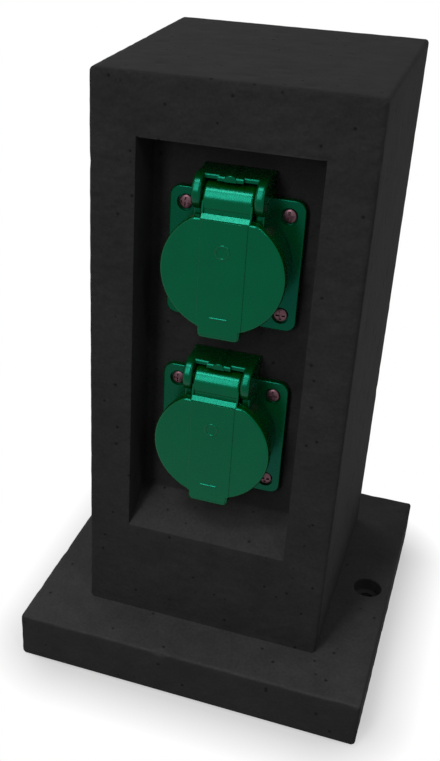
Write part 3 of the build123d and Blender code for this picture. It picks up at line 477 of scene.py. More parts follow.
@dataclass(frozen=True)
class StripedInsulation(MattMoulding):
    """Extruded soft vinyl in two colours, as on an earth wire.

    To the eye: green with broad yellow stripes along the wire, and a soft sheen.
    """

    second: str = "#e0c81a"
    stripe_mm: float = 2.2
    stripe_from: float = 0.1

    def dress(self, tree: Tree, shader: Node, place: Socket) -> None:
        """Lay stripes across X, which the earth wires' routes never follow.

        Args:
            tree: the material's node tree.
            shader: its principled shader.
            place: the Object coordinates.
        """
        super().dress(tree, shader, place)
        across = add_node(tree, "ShaderNodeSeparateXYZ", {}, {"Vector": place}).outputs["X"]
        turns = FULL_TURN * scale_of(self.stripe_mm)
        phase = add_node(tree, "ShaderNodeMath", {"operation": "MULTIPLY", 1: turns}, {0: across})
        wave = add_node(tree, "ShaderNodeMath", {"operation": "SINE"}, {0: phase.outputs[0]})
        share = add_node(tree, "ShaderNodeMath", {"operation": "GREATER_THAN", 1: self.stripe_from},
                         {0: wave.outputs[0]})
        mixed = add_node(tree, "ShaderNodeMix", {"data_type": "RGBA", 6: linear(self.colour),
                                                 7: linear(self.second)}, {0: share.outputs[0]})
        tree.links.new(mixed.outputs[2], shader.inputs["Base Color"])


FINISHES: dict[str, Finish] = {
    # Cast stone: matt and almost black, with more painted top light and fewer pores on the slab
    "pillar_stone": CastStone("cast_stone_pillar", "#232323"),
    "slab_stone": CastStone("cast_stone_slab", "#232323", painted_top_light=0.85, pore_spacing_mm=5.6, pore_share=0.4),
    # Polyamide from a polished tool: deep green, and glossier on the lids
    "green_housing": MouldedPolyamide("green_polyamide_housing", "#002d0b", specular=0.55),
    "green_lid": MouldedPolyamide("green_polyamide_lid", "#002e02", specular=0.7),
    # Elastomer and foam: black and dull, the foam with a coarse open skin
    "seal_rubber": MattMoulding("black_seal_elastomer", "#1a1a1b", roughness=0.7),
    "foot_rubber": MattMoulding("black_foot_rubber", "#19191a", roughness=0.8),
    "gasket_foam": MattMoulding("black_foam_rubber", "#242425", roughness=0.9, specular=0.1, grain_mm=0.8,
                                relief_mm=0.2, contrast=0.3),
    # Metals: screws with a copper tone, bright pins and springs, yellow contacts
    "screw_steel": WorkedMetal("copper_toned_plated_steel", "#60474e", roughness=0.4),
    "pin_steel": WorkedMetal("ground_stainless_steel", "#b9bbbd", roughness=0.28),
    "spring_steel": WorkedMetal("drawn_spring_wire", "#a5a8aa", roughness=0.3),
    "contact_brass": WorkedMetal("bright_brass", "#d4a94c", roughness=0.3),
    "earth_spring_brass": WorkedMetal("nickel_plated_brass", "#cfc09a", roughness=0.3),
    # Moulded resins: pale and matt, or black with a low sheen
    "carrier_resin": MattMoulding("light_grey_thermoset", "#c2c1bb"),
    "block_resin": MattMoulding("ivory_thermoset", "#d9d6c8"),
    "gland_polyamide": MattMoulding("black_polyamide", "#232425", roughness=0.45, specular=0.5),
    # Vinyl insulation: plain wire colours with a soft sheen
    "wire_brown": MattMoulding("brown_vinyl_insulation", "#5e3a22", roughness=0.4),
    "wire_blue": MattMoulding("blue_vinyl_insulation", "#2156a8", roughness=0.4),
    "wire_green_yellow": StripedInsulation("green_and_yellow_vinyl_insulation", "#2f8a2c", roughness=0.4),
}


# Shaping


def sharp(edge: Edge, least_deg: float = 20.0) -> bool:
    """Tell whether an edge joins two faces at more than a small angle."""
    return len(edge.link_faces) == 2 and edge.calc_face_angle(0.0) > math.radians(least_deg)


def in_plane(axis: Axis, *places: float) -> EdgeTest:
    """Return a test for sharp edges that lie in one of the planes across an axis.

    Args:
        axis: the axis that the planes are square to.
        places: where the planes cross it.

    Returns:
        The test.
    """
    def test(edge: Edge) -> bool:
        """Tell whether both ends lie in one of the planes."""
        ends = [vert.co[axis.value] for vert in edge.verts]
        return sharp(edge) and any(all(abs(end - place) < NEAR for end in ends) for place in places)
    return test


def ahead_of(y: float, chosen: EdgeTest) -> EdgeTest:
    """Return a test for the edges that another test chooses and that lie in front of a place.

    Args:
        y: the place along Y.
        chosen: the other test.

    Returns:
        The test.
    """
    def test(edge: Edge) -> bool:
        """Tell whether both ends lie in front."""
        return chosen(edge) and all(vert.co.y < y for vert in edge.verts)
    return test


def corners(at: float) -> list[Pair]:
    """Return the corners of a square about the origin whose sides are so far out."""
    return [(x, y) for x in (-at, at) for y in (-at, at)]


def arc(centre: Point, radius: float, start_deg: float, end_deg: float, steps: int) -> list[Pair]:
    """Return points along an arc.

    Args:
        centre: its centre, as the two coordinates of the outline.
        radius: its radius.
        start_deg: the angle of its first point, from the first coordinate towards the second.
        end_deg: the angle of its last point.
        steps: how many runs it has.

    Returns:
        One point more than it has runs.
    """
    angles = [math.radians(start_deg + (end_deg - start_deg) * step / steps) for step in range(steps + 1)]
    return [(centre[0] + radius * math.cos(angle), centre[1] + radius * math.sin(angle)) for angle in angles]


class Solid:
    """A closed shape in millimetres, with the operators that shape it."""

    def __init__(self, shape: Optional[Shape] = None) -> None:
        """Start from a shape, or from nothing."""
        self.shape = shape if shape is not None else bmesh.new()

    @classmethod
    def box(cls, low: Point, high: Point) -> "Solid":
        """Make a box.

        Args:
            low: its lowest corner.
            high: its highest corner.

        Returns:
            The solid.
        """
        solid = cls()
        low, high = Vector(low), Vector(high)
        place = Matrix.Translation((low + high) / 2) @ Matrix.Diagonal((*(high - low), 1.0))
        bmesh.ops.create_cube(solid.shape, size=1.0, matrix=place)
        return solid

    @classmethod
    def rod(cls, axis: Axis, radius: float, start: float, end: float, centre: Point = (0.0, 0.0),
            sides: int = 64, end_radius: Optional[float] = None) -> "Solid":
        """Make a rod, a cone or a prism along an axis.

        Args:
            axis: the axis that it runs along.
            radius: the radius at its start, to its corners.
            start: where it starts on the axis.
            end: where it ends, past its start.
            centre: its other two coordinates, in their order.
            sides: how many sides it has.
            end_radius: the radius at its end, where that differs.

        Returns:
            The solid.
        """
        solid = cls()
        middle = list(centre)
        middle.insert(axis.value, (start + end) / 2)
        bmesh.ops.create_cone(solid.shape, cap_ends=True, cap_tris=False, segments=sides, radius1=radius,
                              radius2=radius if end_radius is None else end_radius, depth=end - start,
                              matrix=Matrix.Translation(middle) @ axis.turn)
        return solid

    @classmethod
    def turned(cls, outline: Sequence[Point], centre: Point = (0.0, 0.0), steps: int = 96) -> "Solid":
        """Spin an outline about an axis along Y.

        Args:
            outline: its (radius, y) points; it closes on itself, or starts and ends on the axis.
            centre: the axis's x and z.
            steps: how many steps the turn has.

        Returns:
            The solid, with its poles closed.
        """
        solid = cls()
        shape = solid.shape
        points = [shape.verts.new((centre[0] + radius, y, centre[1])) for radius, y in outline]
        open_ends = outline[0][0] < NEAR and outline[-1][0] < NEAR
        pairs = list(zip(points, points[1:])) + ([] if open_ends else [(points[-1], points[0])])
        edges = [shape.edges.new(pair) for pair in pairs]
        bmesh.ops.spin(shape, geom=points + edges, cent=(centre[0], 0.0, centre[1]), axis=Axis.Y.unit,
                       dvec=(0.0, 0.0, 0.0), angle=FULL_TURN, steps=steps, use_merge=True,
                       use_normal_flip=False, use_duplicate=False)
        return solid.mended()

    @classmethod
    def plate(cls, outline: Sequence[Point], axis: Axis, start: float, end: float) -> "Solid":
        """Push a flat outline along an axis.

        Args:
            outline: its points, as the two coordinates across the axis in their order.
            axis: the axis to push along.
            start: where the plate starts on the axis.
            end: where it ends.

        Returns:
            The solid.
        """
        solid = cls()
        shape = solid.shape
        rim = []
        for point in outline:
            place = list(point)
            place.insert(axis.value, start)
            rim.append(shape.verts.new(place))
        face = shape.faces.new(rim)
        grown = bmesh.ops.extrude_face_region(shape, geom=[face])["geom"]
        moved = [item for item in grown if isinstance(item, Vert)]
        bmesh.ops.translate(shape, vec=axis.unit * (end - start), verts=moved)
        return solid.mended()

    def mended(self) -> "Solid":
        """Merge doubles, close poles and turn the faces outwards.

        Returns:
            This solid.
        """
        bmesh.ops.remove_doubles(self.shape, verts=self.shape.verts, dist=NEAR / 10)
        bmesh.ops.recalc_face_normals(self.shape, faces=self.shape.faces)
        return self

    def copy(self) -> "Solid":
        """Return a copy."""
        return Solid(self.shape.copy())

    def moved(self, by: Point) -> "Solid":
        """Move the solid and return it."""
        bmesh.ops.translate(self.shape, vec=Vector(by), verts=self.shape.verts)
        return self

    def mirrored(self, axis: Axis) -> "Solid":
        """Mirror the solid across the plane square to an axis.

        Args:
            axis: the axis.

        Returns:
            The image, as a new solid.
        """
        image = self.copy()
        flip = Vector([-1.0 if place == axis.value else 1.0 for place in range(3)])
        bmesh.ops.scale(image.shape, vec=flip, verts=image.shape.verts)
        bmesh.ops.recalc_face_normals(image.shape, faces=image.shape.faces)
        return image

    def bevel(self, chosen: EdgeTest, width: float, segments: int = 3) -> "Solid":
        """Round the edges that a test chooses.

        Args:
            chosen: the test.
            width: how far the rounding reaches from the edge.
            segments: how many faces it has across.

        Returns:
            This solid.
        """
        edges = [edge for edge in self.shape.edges if chosen(edge)]
        bmesh.ops.bevel(self.shape, geom=edges, offset=width, offset_type="OFFSET", segments=segments,
                        profile=0.5, affect="EDGES", clamp_overlap=True, material=-1)
        return self

    def split(self, axis: Axis, *places: float) -> "Solid":
        """Cut the faces where planes across an axis meet them.

        Args:
            axis: the axis that the planes are square to.
            places: where the planes cross it.

        Returns:
            This solid.
        """
        for place in places:
            everything = self.shape.verts[:] + self.shape.edges[:] + self.shape.faces[:]
            bmesh.ops.bisect_plane(self.shape, geom=everything, plane_co=axis.unit * place,
                                   plane_no=axis.unit, dist=NEAR / 10)
        return self

    def helper(self) -> bpy.types.Object:
        """Make an object with this shape that a boolean can use.

        Returns:
            The object, linked to the scene.
        """
        mesh = bpy.data.meshes.new("helper")
        self.shape.to_mesh(mesh)
        helper = bpy.data.objects.new("helper", mesh)
        bpy.context.scene.collection.objects.link(helper)
        return helper

    def combined(self, join: Join, *others: "Solid", tidy: bool = True) -> "Solid":
        """Combine the solid with others, one after the other.

        Args:
            join: how they are combined.
            others: the other solids.
            tidy: whether flat faces are merged afterwards.

        Returns:
            The result, as a new solid.
        """
        base = self.helper()
        helpers = [base]
        for other in others:
            tool = other.helper()
            helpers.append(tool)
            step = base.modifiers.new(join.name, "BOOLEAN")
            step.operation, step.solver, step.object = join.value, "EXACT", tool
            tool.hide_render = True
        result = Solid()
        result.shape.from_object(base, bpy.context.evaluated_depsgraph_get())
        for helper in helpers:
            mesh = helper.data
            bpy.data.objects.remove(helper)
            bpy.data.meshes.remove(mesh)
        bmesh.ops.remove_doubles(result.shape, verts=result.shape.verts, dist=NEAR / 10)
        if tidy:
            bmesh.ops.dissolve_limit(result.shape, angle_limit=math.radians(0.3), verts=result.shape.verts,
                                     edges=result.shape.edges, use_dissolve_boundaries=False)
        return result

    def plus(self, *others: "Solid") -> "Solid":
        """Return the solid joined with others."""
        return self.combined(Join.ADD, *others)

    def minus(self, *others: "Solid") -> "Solid":
        """Return the solid with others cut out of it."""
        return self.combined(Join.CUT, *others)

    def beside(self, *others: "Solid") -> "Solid":
        """Add other solids as separate shells of the same piece.

        Args:
            others: the other solids.

        Returns:
            This solid.
        """
        for other in others:
            mesh = bpy.data.meshes.new("shell")
            other.shape.to_mesh(mesh)
            self.shape.from_mesh(mesh)
            bpy.data.meshes.remove(mesh)
        return self

    def piece(self, name: str, slot: str, body: str, *nodes: str, smooth_deg: float = 32.0,
              twist: Optional[tuple[str, Point, Point]] = None) -> bpy.types.Object:
        """Turn the solid into a finished piece of the part.

        Args:
            name: the piece's name.
            slot: the record's material slot, which also gives its finish.
            body: the body that it rides on.
            nodes: the nodes that it stands for.
            smooth_deg: the angle above which an edge stays crisp.
            twist: for a piece that twists, the body that its far end follows, and the points in metres
                between which it does; only whether it is given is read, and then the piece is joined to no
                body.

        Returns:
            The object, in metres.
        """
        bmesh.ops.scale(self.shape, vec=(MM, MM, MM), verts=self.shape.verts)
        mesh = bpy.data.meshes.new(name)
        self.shape.to_mesh(mesh)
        self.shape.free()
        mesh.shade_smooth()
        mesh.set_sharp_from_angle(angle=math.radians(smooth_deg))
        mesh.materials.append(FINISHES[slot].material())
        made = bpy.data.objects.new(name, mesh)
        bpy.context.scene.collection.objects.link(made)
        even = made.modifiers.new("even_normals", "WEIGHTED_NORMAL")
        even.keep_sharp = True
        if twist:
            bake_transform(made)
        else:
            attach(made, body)
        if nodes:
            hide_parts(*nodes)
        LOG.info("%s: %d faces, rides on %s", name, len(mesh.polygons), body)
        return made


def node_box(name: str) -> tuple[Vector, Vector]:
    """Return a node's lowest and highest corner in millimetres."""
    low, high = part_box(name)
    return low / MM, high / MM


# The stone


def distance_to_frame(across: float, up: float, half: float, low: float, high: float) -> float:
    """Return how far a point is from a rectangle's outline.

    Args:
        across: the point's first coordinate, from the rectangle's middle.
        up: its second coordinate.
        half: half the rectangle's width.
        low: the rectangle's lower side.
        high: its upper side.

    Returns:
        The distance in the rectangle's plane.
    """
    beside = abs(across) - half
    beyond = max(low - up, up - high)
    if beside > 0 or beyond > 0:
        return math.hypot(max(beside, 0.0), max(beyond, 0.0))
    return -max(beside, beyond)


@dataclass
class Casting:
    """What every cast stone block shares: the fine grid and the relief that it is given, always inwards.

    A face counts as level where its direction's upright share is above the value of that name.
    """

    grid: float = 1.6
    edge_radius: float = 1.6
    wave_spacing: float = 21.0
    wave_depth: float = 0.24
    patch_spacing: float = 4.6
    patch_depth: float = 0.22
    dent_spacing: float = 12.0
    dent_reach: float = 0.28
    dent_depth: float = 0.5
    edge_spacing: float = 3.4
    edge_depth: float = 0.3
    edge_reach: float = 3.0
    patch_gain: float = 0.6
    patch_fractal: tuple[float, float, int] = (0.9, 2.0, 3)
    level: float = 0.7

    def rings(self, shape: Shape) -> list[list[Edge]]:
        """Gather the edges in rings, whose edges lie across from each other in four-sided faces.

        Args:
            shape: the mesh that they belong to.

        Returns:
            The rings, each edge in one of them.
        """
        seen: set[Edge] = set()
        found = []
        for start in shape.edges:
            if start in seen:
                continue
            seen.add(start)
            ring, waiting = [], [start]
            while waiting:
                edge = waiting.pop()
                ring.append(edge)
                for loop in edge.link_loops:
                    across = loop.link_loop_next.link_loop_next.edge
                    if len(loop.face.verts) == 4 and across not in seen:
                        seen.add(across)
                        waiting.append(across)
            found.append(ring)
        return found

    def cut_grid(self, solid: Solid) -> None:
        """Cut a block of four-sided faces into a fine grid, one axis after the other.

        Args:
            solid: the block.
        """
        for axis in Axis:
            for ring in self.rings(solid.shape):
                longest = max(ring, key=lambda edge: edge.calc_length())
                run = longest.verts[1].co - longest.verts[0].co
                cuts = round(run.length / self.grid) - 1
                if cuts > 0 and abs(run.normalized()[axis.value]) > self.level:
                    bmesh.ops.subdivide_edges(solid.shape, edges=ring, cuts=cuts, use_grid_fill=False)

    def hollows(self) -> Solid:
        """Return everything that is cut out of the block, as one solid."""
        raise NotImplementedError

    def cast(self, block: Solid, name: str, slot: str, node: str) -> None:
        """Turn the coarse block into the finished piece, and note on its mesh which way it faces.

        Args:
            block: the block, in four-sided faces.
            name: the piece's name.
            slot: its material slot.
            node: the node that it stands for.
        """
        self.cut_grid(block)
        self.wear(block)
        cut = block.combined(Join.CUT, self.hollows(), tidy=False)
        made = cut.piece(name, slot, POST, node, smooth_deg=42.0)
        normals = [0.0] * (3 * len(made.data.vertices))
        made.data.vertex_normals.foreach_get("vector", normals)
        made.data.attributes.new(FACING, "FLOAT_VECTOR", "POINT").data.foreach_set("vector", normals)

    def edge_distance(self, place: Vector) -> float:
        """Return how far a point of the surface is from the block's nearest corner edge."""
        raise NotImplementedError

    def share(self, place: Vector, normal: Vector) -> float:
        """Return how much of the relief a point gets, from none to a little over all of it."""
        raise NotImplementedError

    def depth(self, place: Vector, normal: Vector) -> float:
        """Work out how far a point is cut in.

        Args:
            place: the point.
            normal: the surface's direction there.

        Returns:
            The depth in millimetres.
        """
        share = self.share(place, normal)
        if share <= 0.0:
            return 0.0
        wave = 0.5 + 0.5 * noise.noise(place / self.wave_spacing)
        rough = noise.fractal(place / self.patch_spacing, *self.patch_fractal)
        patch = min(max(0.5 + self.patch_gain * rough, 0.0), 1.0)
        nearest = noise.voronoi(place / self.dent_spacing)[0][0]
        dent = 1.0 - smooth_step(0.0, self.dent_reach, nearest)
        near = 1.0 - smooth_step(0.0, self.edge_reach, self.edge_distance(place))
        worn = (0.5 + 0.5 * noise.noise(place / self.edge_spacing)) * near
        return share * (self.wave_depth * wave + self.patch_depth * patch + self.dent_depth * dent
                        + self.edge_depth * worn)

    def wear(self, solid: Solid) -> None:
        """Give the block its relief.

        Args:
            solid: the block, on its fine grid.
        """
        solid.shape.normal_update()
        cuts = [(vert, vert.normal * self.depth(vert.co, vert.normal)) for vert in solid.shape.verts]
        for vert, cut in cuts:
            vert.co -= cut


@dataclass
class Pillar(Casting):
    """The hollow pillar with its recess, cast in one piece."""

    half: float = 50.0
    bottom: float = 23.0
    top: float = 250.0
    recess_half: float = 32.5
    sill_z: float = 66.3
    sill_rise: float = 9.3
    recess_top: float = 228.0
    recess_depth: float = 19.0
    mouth_radius: float = 0.7
    recess_wall: float = 6.0
    cavity_half: float = 42.0
    roof_underside: float = 240.0
    boss_size: float = 16.0
    boss_at: float = 34.0
    boss_top: float = 45.0
    lip_half: float = 47.0
    seat_top: float = 24.5
    base_insert_radius: float = 4.0
    base_insert_top: float = 37.0
    wall_hole_radius: float = 21.7
    socket_heights: Pair = (183.0, 111.0)
    screw_pitch: float = 38.0
    screw_hole_radius: float = 1.8
    insert_radius: float = 2.6
    insert_length: float = 5.0
    gland_z: float = 45.0
    gland_hole_radius: float = 8.1
    block_screw_x: float = 5.6
    block_screw_z: float = 69.0
    block_screw_radius: float = 1.65
    block_screw_depth: float = 6.0
    top_share: float = 0.45
    side_share: float = 0.5
    front_share: float = 0.75
    front_normal: float = -0.5
    front_gain: float = 0.45
    gain_from: float = 170.0

    @property
    def wall_y(self) -> float:
        """Return the recess's back wall."""
        return -self.half + self.recess_depth

    def cage(self) -> Solid:
        """Shape the outside with the recess sunk into it, all in four-sided faces.

        Returns:
            The coarse block, with its edges rounded.
        """
        reach = self.recess_half + self.mouth_radius
        low, high = self.sill_z - self.mouth_radius, self.recess_top + self.mouth_radius
        block = Solid.box((-self.half, -self.half, self.bottom), (self.half, self.half, self.top))
        block.split(Axis.X, -reach, reach).split(Axis.Z, low, high)
        middle = Vector((0.0, -self.half, (low + high) / 2))
        face = min(block.shape.faces, key=lambda found: (found.calc_center_median() - middle).length)
        for inset, depth in [(self.mouth_radius * math.sin(turn), self.mouth_radius * (1 - math.cos(turn)))
                             for turn in (math.pi / 6, math.pi / 3, math.pi / 2)]:
            face = self.sunk(block, face, reach - inset, low + inset, high - inset, -self.half + depth)
        face = self.sunk(block, face, self.recess_half, self.sill_z, self.recess_top, self.wall_y)
        for vert in face.verts:
            if vert.co.z < middle.z:
                vert.co.z += self.sill_rise

        def outer(edge: Edge) -> bool:
            """Tell whether an edge is an upright corner or runs round the top.

            Args:
                edge: the edge.

            Returns:
                Whether it is rounded.
            """
            ends = [vert.co for vert in edge.verts]
            corner = all(abs(abs(at) - self.half) < NEAR for end in ends for at in end.xy)
            above = all(abs(end.z - self.top) < NEAR for end in ends)
            return sharp(edge) and (corner or above)
        return block.bevel(outer, self.edge_radius, 4)

    def sunk(self, block: Solid, face: Face, half: float, low: float, high: float,
             y: float) -> Face:
        """Push the recess's face on to a rectangle further in.

        Args:
            block: the block that it belongs to.
            face: the face.
            half: half the new rectangle's width.
            low: its lower side.
            high: its upper side.
            y: its place along Y.

        Returns:
            The face in its new place.
        """
        middle_z = face.calc_center_median().z
        grown = bmesh.ops.extrude_face_region(block.shape, geom=[face])["geom"]
        moved = next(item for item in grown if isinstance(item, Face))
        if face.is_valid:
            bmesh.ops.delete(block.shape, geom=[face], context="FACES_ONLY")
        for vert in moved.verts:
            vert.co = Vector((math.copysign(half, vert.co.x), y, high if vert.co.z > middle_z else low))
        return moved

    def edge_distance(self, place: Vector) -> float:
        """Work out the distance to the nearest outer corner edge or to the recess's mouth.

        Args:
            place: the point.

        Returns:
            The distance.
        """
        gaps = sorted((self.half - abs(place.x), self.half - abs(place.y), self.top - place.z))
        mouth = distance_to_frame(place.x, place.z, self.recess_half, self.sill_z, self.recess_top)
        return min(gaps[1], math.hypot(mouth, place.y + self.half))

    def share(self, place: Vector, normal: Vector) -> float:
        """Give the front the most relief, more so near the top, and nothing where pieces seat.

        Args:
            place: the point.
            normal: the surface's direction there.

        Returns:
            The share.
        """
        in_recess = abs(place.x) < self.recess_half + NEAR and place.z < self.recess_top
        seat = place.z < self.bottom + NEAR or (place.y > self.wall_y - NEAR and in_recess)
        if seat or normal.z < -self.level:
            return 0.0
        if normal.z > self.level:
            return self.top_share
        if normal.y < self.front_normal and place.y < -self.half + self.mouth_radius:
            return self.front_share + self.front_gain * smooth_step(self.gain_from, self.top, place.z)
        return self.side_share

    def hollows(self) -> Solid:
        """Make everything that is cut out of the block, as one solid.

        Returns:
            The cavity, seats and holes.
        """
        inner, below = self.cavity_half, self.bottom - OVERRUN
        niche_half = self.recess_half + self.recess_wall
        back_y = self.wall_y + self.recess_wall
        slope = self.sill_rise / self.recess_depth
        low, high = self.sill_z - self.recess_wall, self.recess_top + self.recess_wall
        niche = Solid.plate([(-self.half, low), (back_y, low + slope * (back_y + self.half)), (back_y, high),
                             (-self.half, high)], Axis.X, -niche_half, niche_half)
        half_boss = self.boss_size / 2
        bosses = []
        for x, y in corners(self.boss_at):
            low_corner = [at - half_boss - OVERRUN * (at < 0) for at in (x, y)]
            high_corner = [at + half_boss + OVERRUN * (at > 0) for at in (x, y)]
            bosses.append(Solid.box((*low_corner, below - OVERRUN), (*high_corner, self.boss_top)))
        cavity = Solid.box((-inner, -inner, below), (inner, inner, self.roof_underside)).minus(niche, *bosses)
        lip = self.lip_half
        cuts = [Solid.box((-lip, -lip, below), (lip, lip, self.seat_top))]
        cuts += [Solid.rod(Axis.Z, self.base_insert_radius, below, self.base_insert_top, corner, 32)
                 for corner in corners(self.boss_at)]
        front, behind = self.wall_y - OVERRUN, back_y + OVERRUN
        for height in self.socket_heights:
            cuts.append(Solid.rod(Axis.Y, self.wall_hole_radius, front, behind, (0.0, height), 96))
            for x, rise in corners(self.screw_pitch / 2):
                place, seat = (x, height + rise), back_y - self.insert_length
                cuts.append(Solid.rod(Axis.Y, self.screw_hole_radius, front, behind, place, 24))
                cuts.append(Solid.rod(Axis.Y, self.insert_radius, seat, behind, place, 24))
        cuts.append(Solid.rod(Axis.Y, self.gland_hole_radius, inner - OVERRUN, self.half + OVERRUN,
                              (0.0, self.gland_z), 64))
        cuts += [Solid.rod(Axis.Y, self.block_screw_radius, inner - OVERRUN, inner + self.block_screw_depth,
                           (x, self.block_screw_z), 24) for x in (-self.block_screw_x, self.block_screw_x)]
        return cavity.plus(*cuts)

    def build(self) -> None:
        """Make the pillar and put it in the CAD node's place."""
        self.cast(self.cage(), "cast_pillar", "pillar_stone", "pillar_body")


@dataclass
class BaseSlab(Casting):
    """The square slab that the pillar stands on, with its ground-fixing holes."""

    half: float = 73.0
    bottom: float = 1.5
    top: float = 23.0
    pillar_half: float = 50.0
    fixing_at: float = 63.0
    fixing_radius: float = 3.3
    counterbore_radius: float = 6.0
    counterbore_depth: float = 6.0
    counterbore_edge: float = 0.5
    screw_at: float = 34.0
    screw_radius: float = 3.2
    screw_head_radius: float = 6.0
    screw_head_top: float = 9.0
    foot_at: float = 58.0
    foot_radius: float = 9.1
    foot_top: float = 3.5
    chip_at: Triple = (-10.0, -73.0, 23.0)
    chip_reach: float = 3.2
    chip_depth: float = 1.1
    chip_floor: float = 0.3
    underside: float = -0.9
    rim_share: float = 0.6
    rim_fade: float = 4.0
    side_share: float = 0.9

    def edge_distance(self, place: Vector) -> float:
        """Return the distance to the slab's nearest edge."""
        return sorted((self.half - abs(place.x), self.half - abs(place.y), self.top - place.z,
                       place.z - self.bottom))[1]

    def share(self, place: Vector, normal: Vector) -> float:
        """Give the sides and the rim some relief, and nothing under the pillar or below.

        Args:
            place: the point.
            normal: the surface's direction there.

        Returns:
            The share.
        """
        if normal.z < self.underside:
            return 0.0
        if normal.z > self.level:
            beyond = max(abs(place.x), abs(place.y)) - self.pillar_half
            return self.rim_share * smooth_step(0.0, self.rim_fade, beyond)
        return self.side_share

    def depth(self, place: Vector, normal: Vector) -> float:
        """Work out the relief's depth, with the chip in the front's upper edge.

        Args:
            place: the point.
            normal: the surface's direction there.

        Returns:
            The depth in millimetres.
        """
        away = (place - Vector(self.chip_at)).length / self.chip_reach
        chip = self.chip_depth * (1 - smooth_step(self.chip_floor, 1.0, away))
        return super().depth(place, normal) + chip

    def hollows(self) -> Solid:
        """Make the holes and the seats for the feet, as one solid.

        Returns:
            The solid to cut out.
        """
        below, above = self.bottom - OVERRUN, self.top + OVERRUN
        floor = self.top - self.counterbore_depth
        cuts = []
        for x in (-self.fixing_at, self.fixing_at):
            cuts.append(Solid.rod(Axis.Z, self.fixing_radius, below, above, (x, 0.0), 48))
            cuts.append(Solid.rod(Axis.Z, self.counterbore_radius, floor, above, (x, 0.0), 64))
            flare = self.counterbore_radius + self.counterbore_edge + OVERRUN
            cuts.append(Solid.rod(Axis.Z, self.counterbore_radius, self.top - self.counterbore_edge, above,
                                  (x, 0.0), 64, end_radius=flare))
        for screw, foot in zip(corners(self.screw_at), corners(self.foot_at)):
            cuts.append(Solid.rod(Axis.Z, self.screw_radius, below, above, screw, 32))
            cuts.append(Solid.rod(Axis.Z, self.screw_head_radius, below, self.screw_head_top, screw, 48))
            cuts.append(Solid.rod(Axis.Z, self.foot_radius, below, self.foot_top, foot, 64))
        return cuts[0].plus(*cuts[1:])

    def build(self) -> None:
        """Make the slab and put it in the CAD node's place."""
        block = Solid.box((-self.half, -self.half, self.bottom), (self.half, self.half, self.top))
        reach = self.pillar_half
        block.split(Axis.X, -reach, reach).split(Axis.Y, -reach, reach).bevel(sharp, self.edge_radius, 4)
        self.cast(block, "cast_base_slab", "slab_stone", "base_plate")


# The sockets


@dataclass
class SocketPart:
    """What a socket's pieces share: the wall behind it, and its hinge and screws about its own centre."""

    wall_y: float = -31.0
    flange_front: float = -3.0
    hinge_y: float = -11.0
    hinge_rise: float = 26.6
    screw_at: float = 19.0

    def shape(self) -> Solid:
        """Return the piece, about its socket's centre."""
        raise NotImplementedError

    def seat(self, solid: Solid, level: Level, height: float) -> None:
        """Turn the shape, in its place, into the piece of one socket.

        Args:
            solid: the shape.
            level: the socket.
            height: the socket's centre.
        """
        raise NotImplementedError

    def build(self, heights: dict[Level, float]) -> None:
        """Put one piece in each socket's place.

        Args:
            heights: the sockets' centres.
        """
        shape = self.shape()
        for level, height in heights.items():
            self.seat(shape.copy().moved((0.0, self.wall_y, height)), level, height)


